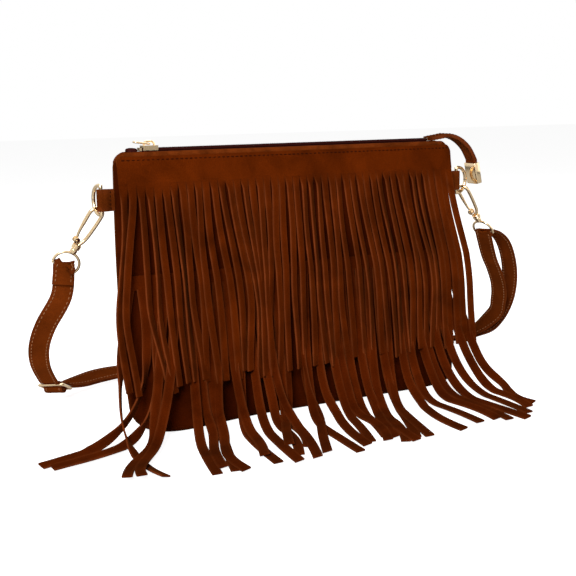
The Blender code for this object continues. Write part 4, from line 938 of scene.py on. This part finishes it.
cap_turn = (np.arange(32) + 0.5) * np.pi / 16
cap_wide = signed_power(np.cos(cap_turn), 0.28)
cap_thick = signed_power(np.sin(cap_turn), 0.28)
cap_lift = np.cross(tail_aim, (0.0, 1.0, 0.0))
cap_rows = []
for place, wall, shrink in (
    (cap_end, CAP_WALL, 0.86),
    (cap_end - tail_aim * 0.0002, CAP_WALL, 0.95),
    (cap_end - tail_aim * 0.0007, CAP_WALL, 1.0),
    (cap_mouth + tail_aim * 0.0003, CAP_WALL, 1.0),
    (cap_mouth, CAP_WALL - 0.0002, 1.0),
    (cap_mouth, 0.0001, 1.0),
    (cap_mouth + tail_aim * 0.0004, 0.0, 1.0),
    (cap_end - tail_aim * CAP_WALL, 0.0, 1.0),
):
    half_wide = (TAIL_WIDTH / 2 + 0.0003 + wall) * shrink
    half_thick = (TAIL_THICKNESS / 2 + 0.0003 + wall) * shrink
    wide = np.array((0.0, 1.0, 0.0)) * (cap_wide * half_wide)[:, None]
    cap_rows.append(place + wide + cap_lift * (cap_thick * half_thick)[:, None])
cap = add_piece("zip_tail_cap", np.stack(cap_rows)[None], champagne_gold)
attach(cap, "bag")
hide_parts("zip_end_cap")

# Side tabs. At each side seam a suede strip is folded round the straight bar of a D-ring, both ends caught in
# the seam and stitched through.
TAB_WIDTH = 0.015
RING_BAR_OUT = 0.1475
RING_LEVEL = 0.161
TAB_LOOP = 0.0023

tab_suede = suede_finish("tab_suede", TAIL_BROWN)
for side, side_name in ((-1, "left"), (1, "right")):
    seam = float(pouch_half_width(np.array(RING_LEVEL))) + SEAM_GAP
    near = [(seam, -0.0008), (seam + 0.003, -0.0008), (RING_BAR_OUT - TAB_LOOP - 0.0012, -TAB_LOOP * 0.85)]
    bend = np.radians(np.linspace(-110, 110, 9))
    outline = near + [(RING_BAR_OUT + TAB_LOOP * np.cos(a), TAB_LOOP * np.sin(a)) for a in bend]
    outline += [(x, -y) for x, y in reversed(near)]
    tab_line = smooth_line([(side * x, y, RING_LEVEL) for x, y in outline], 5)
    tab_across = np.tile((0.0, 0.0, 1.0), (len(tab_line), 1))
    tab_points, tab_mask, *_ = band(tab_line, tab_across, TAB_WIDTH, SUEDE)
    tab = add_piece(f"{side_name}_tab_suede", tab_points, tab_suede, edge=tab_mask)
    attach(tab, "bag")
    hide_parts(f"{side_name}_tab")
    stitch_z = RING_LEVEL + np.linspace(-0.0055, 0.0055, 5)
    middles = np.stack((0 * stitch_z + side * (seam + 0.0030), 0 * stitch_z - 0.00155, stitch_z), -1)
    along = np.tile((0.0, 0.0, 1.0), (5, 1))
    out = np.tile((0.0, -1.0, 0.0), (5, 1))
    tab_threads = stitch_run(f"{side_name}_tab_stitches", middles, along, out, 0.0019, 0.00026, seam_thread)
    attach(tab_threads, "bag")

# Clips. At each side hangs a D-ring, and in it a swivel snap hook: a pear of round wire on a turned collar,
# with a sprung gate on a rivet. Below the collar a half-round eye carries the strap. All are gold-plated.
RING_HALF_HEIGHT = 0.01015
RING_DEPTH = 0.012
RING_WIRE = 0.00135
RING_BAR_HALF = 0.0085
RING_AIMS_DEG = {"left": 82.0, "right": 17.0}
HOOK_SHAPE = ((0.0008, 0.0030), (0.0034, 0.0080), (0.0044, 0.0140), (0.0050, 0.0215))
HOOK_TOP = 0.0285
HOOK_HALF = 0.00515
GATE_SHAPE = ((-0.0033, 0.0078), (-0.0044, 0.0120), (-0.0048, 0.0160), (-0.00494, 0.0192))
PIN_OUT = 0.0031
PIN_UP = 0.0066
CHEEK_RADIUS = 0.0023
CHEEK_OUT = 0.0014
CHEEK_HALF = 0.0004
EAR_WIRE = 0.0006
EYE_HALF = 0.0092
EYE_DROP = 0.0155
EYE_WIRE = 0.0010


def turned(name, centre, axes, profile, material, looped=False, sides=28):
    """A turned piece: each (radius, height) point of its outline is carried round the third of the axes."""
    radius, height = np.array(profile).T
    turn = (np.arange(sides) + 0.5) * 2 * np.pi / sides
    local = np.stack(
        (radius[:, None] * np.cos(turn), radius[:, None] * np.sin(turn), height[:, None] + 0 * turn), -1
    )
    return add_piece(name, (centre + local @ np.asarray(axes))[None], material, looped=looped, sharp_deg=35)


def drum(radius, low, high, rounding=0.00025):
    """The outline of a solid drum with rounded edges."""
    return (
        (0.00005, low), (radius - rounding, low), (radius - 0.3 * rounding, low + 0.3 * rounding),
        (radius, low + rounding), (radius, high - rounding), (radius - 0.3 * rounding, high - 0.3 * rounding),
        (radius - rounding, high), (0.00005, high),
    )


def axis_of(joint_name):
    """The unit vector along a joint's axis."""
    axis = np.array(joints[joint_name]["axis"], float)
    return axis / np.linalg.norm(axis)


for side, side_name in ((-1, "left"), (1, "right")):
    aim_deg = np.radians(RING_AIMS_DEG[side_name])
    aim = np.array((side * np.cos(aim_deg), np.sin(aim_deg), 0.0))
    upright = np.array((0.0, 0.0, 1.0))
    ring_turn = np.radians(90 - 180 * (1 - np.cos(np.linspace(0, np.pi, 40))) / 2)[:, None]
    ring_middle = np.array(joints[f"{side_name}_dring_swing"]["pos_m"])
    bow = aim * RING_DEPTH * np.clip(np.cos(ring_turn), 0, 1) ** 0.7
    ring_line = ring_middle + (bow + upright * RING_HALF_HEIGHT * np.sin(ring_turn))
    bar_line = ring_middle + upright * np.linspace(-RING_BAR_HALF, RING_BAR_HALF, 8)[:, None]
    ring_line = np.concatenate((ring_line, bar_line))
    ring_normal = np.cross(aim, upright)
    ring = wire(
        f"{side_name}_dring_wire", ring_line, ring_normal, RING_WIRE, champagne_gold, closed=True, sides=16
    )
    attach(ring, f"{side_name}_ring")
    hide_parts(f"{side_name}_dring")

    swivel = np.array(joints[f"{side_name}_hook_swivel"]["pos_m"])
    hook_z, hook_y = axis_of(f"{side_name}_hook_swivel"), axis_of(f"{side_name}_gate_push")
    hook_x = np.cross(hook_y, hook_z)
    arc = np.radians(np.linspace(0, 180, 13))
    shape = [*HOOK_SHAPE, *((HOOK_HALF * np.cos(a), HOOK_TOP + HOOK_HALF * np.sin(a)) for a in arc)]
    shape += [(-0.0051, 0.0240), (-0.00494, 0.0195)]
    hook_line = smooth_line([swivel + hook_x * x + hook_z * z for x, z in shape], 4)
    pin = swivel - hook_x * PIN_OUT + hook_z * PIN_UP
    hook_axes = (hook_x, hook_y, hook_z)
    across_axes = (hook_z, hook_x, hook_y)
    collar = (
        (0.0015, 0.0003), (0.0029, 0.0), (0.0032, 0.0003), (0.0032, 0.0014), (0.00295, 0.0017),
        (0.0032, 0.0020), (0.0032, 0.0033), (0.0029, 0.0036), (0.0015, 0.0034),
    )
    rivet = drum(0.0007, -0.0021, 0.0021)
    hook_pieces = [
        wire(f"{side_name}_hook_wire", hook_line, hook_y, RING_WIRE, champagne_gold, sides=16),
        turned(f"{side_name}_hook_collar", swivel, hook_axes, collar, champagne_gold, looped=True),
        turned(f"{side_name}_hook_rivet", pin, across_axes, rivet, champagne_gold, sides=16),
    ]
    for level, word in ((-CHEEK_OUT, "near"), (CHEEK_OUT, "far")):
        cheek = drum(CHEEK_RADIUS, level - CHEEK_HALF, level + CHEEK_HALF, 0.0002)
        hook_pieces.append(turned(f"{side_name}_hook_cheek_{word}", pin, across_axes, cheek, champagne_gold))
        ear_root, ear_run = -hook_x * 0.0006 + hook_z * 0.0022, -hook_x * 0.0022 + hook_z * 0.0036
        ear_line = swivel + hook_y * level + np.linspace(0, 1, 4)[:, None] * ear_run + ear_root
        ear = wire(f"{side_name}_hook_ear_{word}", ear_line, hook_y, EAR_WIRE, champagne_gold, sides=8)
        hook_pieces.append(ear)
    for piece in hook_pieces:
        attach(piece, f"{side_name}_snap_hook")
    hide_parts(f"{side_name}_hook")
    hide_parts(f"{side_name}_gate_pin")

    gate_line = smooth_line([swivel + hook_x * x + hook_z * z for x, z in GATE_SHAPE], 5)
    gate_radius = np.linspace(0.0009, 0.0012, len(gate_line))
    gate_pieces = [
        wire(f"{side_name}_gate_wire", gate_line, hook_y, gate_radius, champagne_gold),
        turned(f"{side_name}_gate_eyelet", pin, across_axes, drum(0.0019, -0.0008, 0.0008), champagne_gold),
    ]
    for piece in gate_pieces:
        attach(piece, f"{side_name}_hook_gate")
    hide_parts(f"{side_name}_gate")

    eye_x = axis_of(f"{side_name}_eye_tilt")
    eye_y = np.cross(hook_z, eye_x)
    eye_shape = [(share * EYE_HALF, -EYE_DROP) for share in (-0.93, -0.4, 0.4, 0.93)]
    for swing in np.radians(np.linspace(-20, 200, 15)):
        eye_shape.append((EYE_HALF * np.cos(swing), -EYE_DROP + 0.0028 + 0.0087 * max(np.sin(swing), -0.25)))
    eye_line = smooth_line([swivel + eye_x * x + hook_z * z for x, z in eye_shape], 4, closed=True)
    eye_axes = (eye_x, eye_y, hook_z)
    knob = (
        (0.00005, -0.0042), (0.0016, -0.0042), (0.0024, -0.0034), (0.00256, -0.0020), (0.0024, -0.0008),
        (0.0021, -0.0002), (0.0013, -0.0002), (0.0013, 0.0025), (0.0021, 0.0027), (0.0019, 0.0036),
        (0.00005, 0.0036),
    )
    eye_pieces = [
        wire(f"{side_name}_eye_wire", eye_line, eye_y, EYE_WIRE, champagne_gold, closed=True, sides=14),
        turned(f"{side_name}_eye_post", swivel, eye_axes, knob, champagne_gold),
    ]
    for piece in eye_pieces:
        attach(piece, f"{side_name}_strap_eye")
    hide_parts(f"{side_name}_eye")

# Strap. One long band of paler suede, stitched along both edges. It is sewn round the left eye, runs through
# the slide buckle and behind the bag, round the right eye, and back on itself to the buckle's middle bar.
STRAP_WIDTH = 0.015
STRAP_THICKNESS = 0.0014
STRAP_LAYER_PITCH = 0.0018
STRAP_OVERLAP = 0.013
STRAP_STITCH_PITCH = 0.0034
BUCKLE_PLACE = (-0.1640, 0.0850, 0.0125)
BUCKLE_ACROSS_AIM = (0.80, -0.59, 0.04)
BUCKLE_HALF_WIDTH = 0.0100
BUCKLE_HALF_LENGTH = 0.0080
BUCKLE_WIRE = 0.0011
BUCKLE_CORNER = 0.0018
STRAP_BROWN = (0.145, 0.0260, 0.0030)
STRAP_THREAD_TAN = (0.36, 0.15, 0.065)
LEFT_ROUTE = (
    ((-0.1703, 0.0290, 0.0929), (0.90, -0.15, -0.38)),
    ((-0.1807, 0.0370, 0.0710), (0.92, -0.25, -0.25)),
    ((-0.1838, 0.0470, 0.0540), (0.92, -0.36, -0.10)),
    ((-0.1805, 0.0600, 0.0370), (0.86, -0.48, -0.06)),
)
FLOOR_ROUTE = (
    ((-0.1390, 0.1060, 0.0075), (0.62, -0.74, -0.25)),
    ((-0.1200, 0.1180, 0.0070), (0.48, -0.78, -0.38)),
    ((-0.0950, 0.1280, 0.0055), (0.36, -0.86, -0.30)),
    ((-0.0600, 0.1340, 0.0028), (0.15, -0.97, -0.08)),
    ((-0.0200, 0.1360, 0.0010), (0.02, -1.00, 0.00)),
    ((0.0400, 0.1360, 0.0010), (0.00, -1.00, 0.00)),
    ((0.1000, 0.1340, 0.0010), (-0.08, -1.00, 0.00)),
    ((0.1500, 0.1280, 0.0010), (-0.20, -0.98, 0.00)),
    ((0.1950, 0.1130, 0.0012), (-0.35, -0.94, 0.00)),
    ((0.2240, 0.0930, 0.0040), (-0.30, -0.94, 0.10)),
)
RIGHT_ROUTE = (
    ((0.2370, 0.0740, 0.0150), (-0.05, -0.97, 0.20)),
    ((0.2395, 0.0580, 0.0310), (0.12, -0.98, 0.10)),
    ((0.2370, 0.0440, 0.0500), (0.22, -0.97, 0.05)),
    ((0.2310, 0.0330, 0.0690), (0.26, -0.96, 0.02)),
    ((0.2210, 0.0230, 0.0880), (0.28, -0.96, 0.00)),
    ((0.2090, 0.0160, 0.1050), (0.29, -0.96, 0.00)),
    ((0.1960, 0.0120, 0.1145), (0.29, -0.96, 0.00)),
)
INNER_RIGHT_ROUTE = (
    ((0.1960, 0.0180, 0.0930), (0.29, -0.96, 0.00)),
    ((0.2070, 0.0240, 0.0790), (0.28, -0.96, 0.00)),
    ((0.2180, 0.0320, 0.0640), (0.26, -0.96, 0.02)),
    ((0.2270, 0.0430, 0.0480), (0.22, -0.97, 0.05)),
    ((0.2320, 0.0570, 0.0310), (0.12, -0.98, 0.10)),
)


def unit(vector):
    """The vector at length 1."""
    return vector / np.linalg.norm(vector)


def eye_wrap(bar, downward, across, start_deg, end_deg, count):
    """Points round an eye's bar, from one angle to the other: bar + (face cos(a) - down sin(a)) r."""
    turn = np.radians(np.linspace(start_deg, end_deg, count))[:, None]
    radius = EYE_WIRE + SEAM_GAP + STRAP_THICKNESS / 2
    return bar + (unit(np.cross(across, downward)) * np.cos(turn) - downward * np.sin(turn)) * radius


left_points, left_acrosses = np.array(LEFT_ROUTE).transpose(1, 0, 2)
floor_points, floor_acrosses = np.array(FLOOR_ROUTE).transpose(1, 0, 2)
right_points, right_acrosses = np.array(RIGHT_ROUTE).transpose(1, 0, 2)
inner_points, inner_acrosses = np.array(INNER_RIGHT_ROUTE).transpose(1, 0, 2)
left_bar, left_across = np.array(joints["left_eye_tilt"]["pos_m"]), axis_of("left_eye_tilt")
right_bar, right_across = np.array(joints["right_eye_tilt"]["pos_m"]), axis_of("right_eye_tilt")

buckle_along = unit(floor_points[0] - left_points[-1])
buckle_aim = np.array(BUCKLE_ACROSS_AIM)
buckle_across = -unit(buckle_aim - buckle_along * buckle_aim.dot(buckle_along))
buckle_off = np.cross(buckle_across, buckle_along)
bar_pass = BUCKLE_WIRE + SEAM_GAP + STRAP_THICKNESS / 2
under_bar = bar_pass + STRAP_LAYER_PITCH
into_buckle = [
    (-BUCKLE_HALF_LENGTH * 1.55, -bar_pass),
    (-BUCKLE_HALF_LENGTH, -bar_pass),
    (-BUCKLE_HALF_LENGTH + BUCKLE_WIRE * 1.7, -bar_pass * 0.94),
    (-BUCKLE_HALF_LENGTH + BUCKLE_WIRE * 3.2, under_bar * 0.16),
    (-BUCKLE_HALF_LENGTH + BUCKLE_WIRE * 4.8, under_bar * 0.86),
]
through_buckle = into_buckle + [(0, under_bar)] + [(-along, lift) for along, lift in reversed(into_buckle)]
round_bar = [
    (BUCKLE_HALF_LENGTH * 1.55, -bar_pass - STRAP_LAYER_PITCH),
    (BUCKLE_HALF_LENGTH, -bar_pass - STRAP_LAYER_PITCH),
    (BUCKLE_HALF_LENGTH * 0.62, -bar_pass - STRAP_LAYER_PITCH * 0.8),
    (BUCKLE_HALF_LENGTH * 0.28, -bar_pass - STRAP_LAYER_PITCH * 0.2),
]
for bar_turn in np.radians((-90, -135, -180, -225, -270, -315)):
    round_bar.append((bar_pass * np.cos(bar_turn), bar_pass * np.sin(bar_turn)))
through_buckle = np.array([BUCKLE_PLACE + buckle_along * a + buckle_off * b for a, b in through_buckle])
round_bar = np.array([BUCKLE_PLACE + buckle_along * a + buckle_off * b for a, b in round_bar])

left_down = unit(left_points[0] - left_bar)
left_down = unit(left_down - left_across * left_down.dot(left_across))
left_face = unit(np.cross(left_across, left_down))
left_aim = unit(left_points[0] - left_bar)
left_tail = np.array([
    left_bar + left_aim * STRAP_OVERLAP * share - left_face * (STRAP_LAYER_PITCH - SEAM_GAP / 2) * lean
    for share, lean in ((1, 0.9), (0.5, 0.85))
])
left_tail_across = np.array([left_acrosses[0] * share + left_across * (1 - share) for share in (0.65, 0.3)])
right_down = unit(inner_points[0] - right_bar)
right_down = unit(right_down - right_across * right_down.dot(right_across))
floor_run = np.gradient(floor_points, axis=0)
floor_lifts = np.cross(floor_acrosses, floor_run)
floor_lifts *= np.sign(floor_lifts[:, 2:]) / np.linalg.norm(floor_lifts, axis=1, keepdims=True)
strap_stretches = (
    (left_tail, left_tail_across),
    (eye_wrap(left_bar, left_down, left_across, 180, 0, 7), left_across),
    (left_points, left_acrosses),
    (through_buckle, -buckle_across),
    (floor_points, floor_acrosses),
    (right_points, right_acrosses),
    (eye_wrap(right_bar, right_down, right_across, 60, -180, 9), right_across),
    (inner_points, inner_acrosses),
    ((floor_points + floor_lifts * STRAP_LAYER_PITCH)[::-1], floor_acrosses[::-1]),
    (round_bar, -buckle_across),
)
strap_guides = np.concatenate([points for points, _ in strap_stretches])
strap_guide_acrosses = np.concatenate([across + 0 * points for points, across in strap_stretches])
strap_line = smooth_line(strap_guides, 6)
strap_across = smooth_line(strap_guide_acrosses, 6)
strap_points, strap_mask, *strap_directions = band(strap_line, strap_across, STRAP_WIDTH, STRAP_THICKNESS)
strap_suede = suede_finish("strap_suede", STRAP_BROWN)
# The strap's edges get the same paler brown at 0.6: partly their own tone, partly painted highlight.
strap = add_piece("strap_suede_band", strap_points, strap_suede, edge=strap_mask * 0.6)
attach(strap, "bag")
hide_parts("strap")
strap_thread = thread_finish("strap_thread", STRAP_THREAD_TAN)
strap_stitches = edge_stitches(
    "strap_edge_stitches", strap_line, strap_directions, STRAP_WIDTH, STRAP_THICKNESS, STRAP_STITCH_PITCH,
    strap_thread, inset=0.0022, radius=0.00036,
)
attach(strap_stitches, "bag")

# Slide buckle. A rectangle of round wire with a middle bar, which sets the strap's length.
frame_turn = np.radians(np.linspace(0, 90, 7))
frame_line = []
for corner_x, corner_y, start in ((1, 1, 0), (-1, 1, 90), (-1, -1, 180), (1, -1, 270)):
    for turn in frame_turn + np.radians(start):
        across_place = corner_x * (BUCKLE_HALF_WIDTH - BUCKLE_CORNER) + BUCKLE_CORNER * np.cos(turn)
        along_place = corner_y * (BUCKLE_HALF_LENGTH - BUCKLE_CORNER) + BUCKLE_CORNER * np.sin(turn)
        frame_line.append(BUCKLE_PLACE + buckle_across * across_place + buckle_along * along_place)
frame_line = np.array(frame_line)
bar_line = BUCKLE_PLACE + buckle_across * np.linspace(-BUCKLE_HALF_WIDTH, BUCKLE_HALF_WIDTH, 6)[:, None]
buckle_pieces = [
    wire("slide_buckle_frame", frame_line, buckle_off, BUCKLE_WIRE, champagne_gold, closed=True, sides=16),
    wire("slide_buckle_bar", bar_line, buckle_off, BUCKLE_WIRE * 0.95, champagne_gold),
]
for piece in buckle_pieces:
    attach(piece, "bag")
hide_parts("slide_buckle")
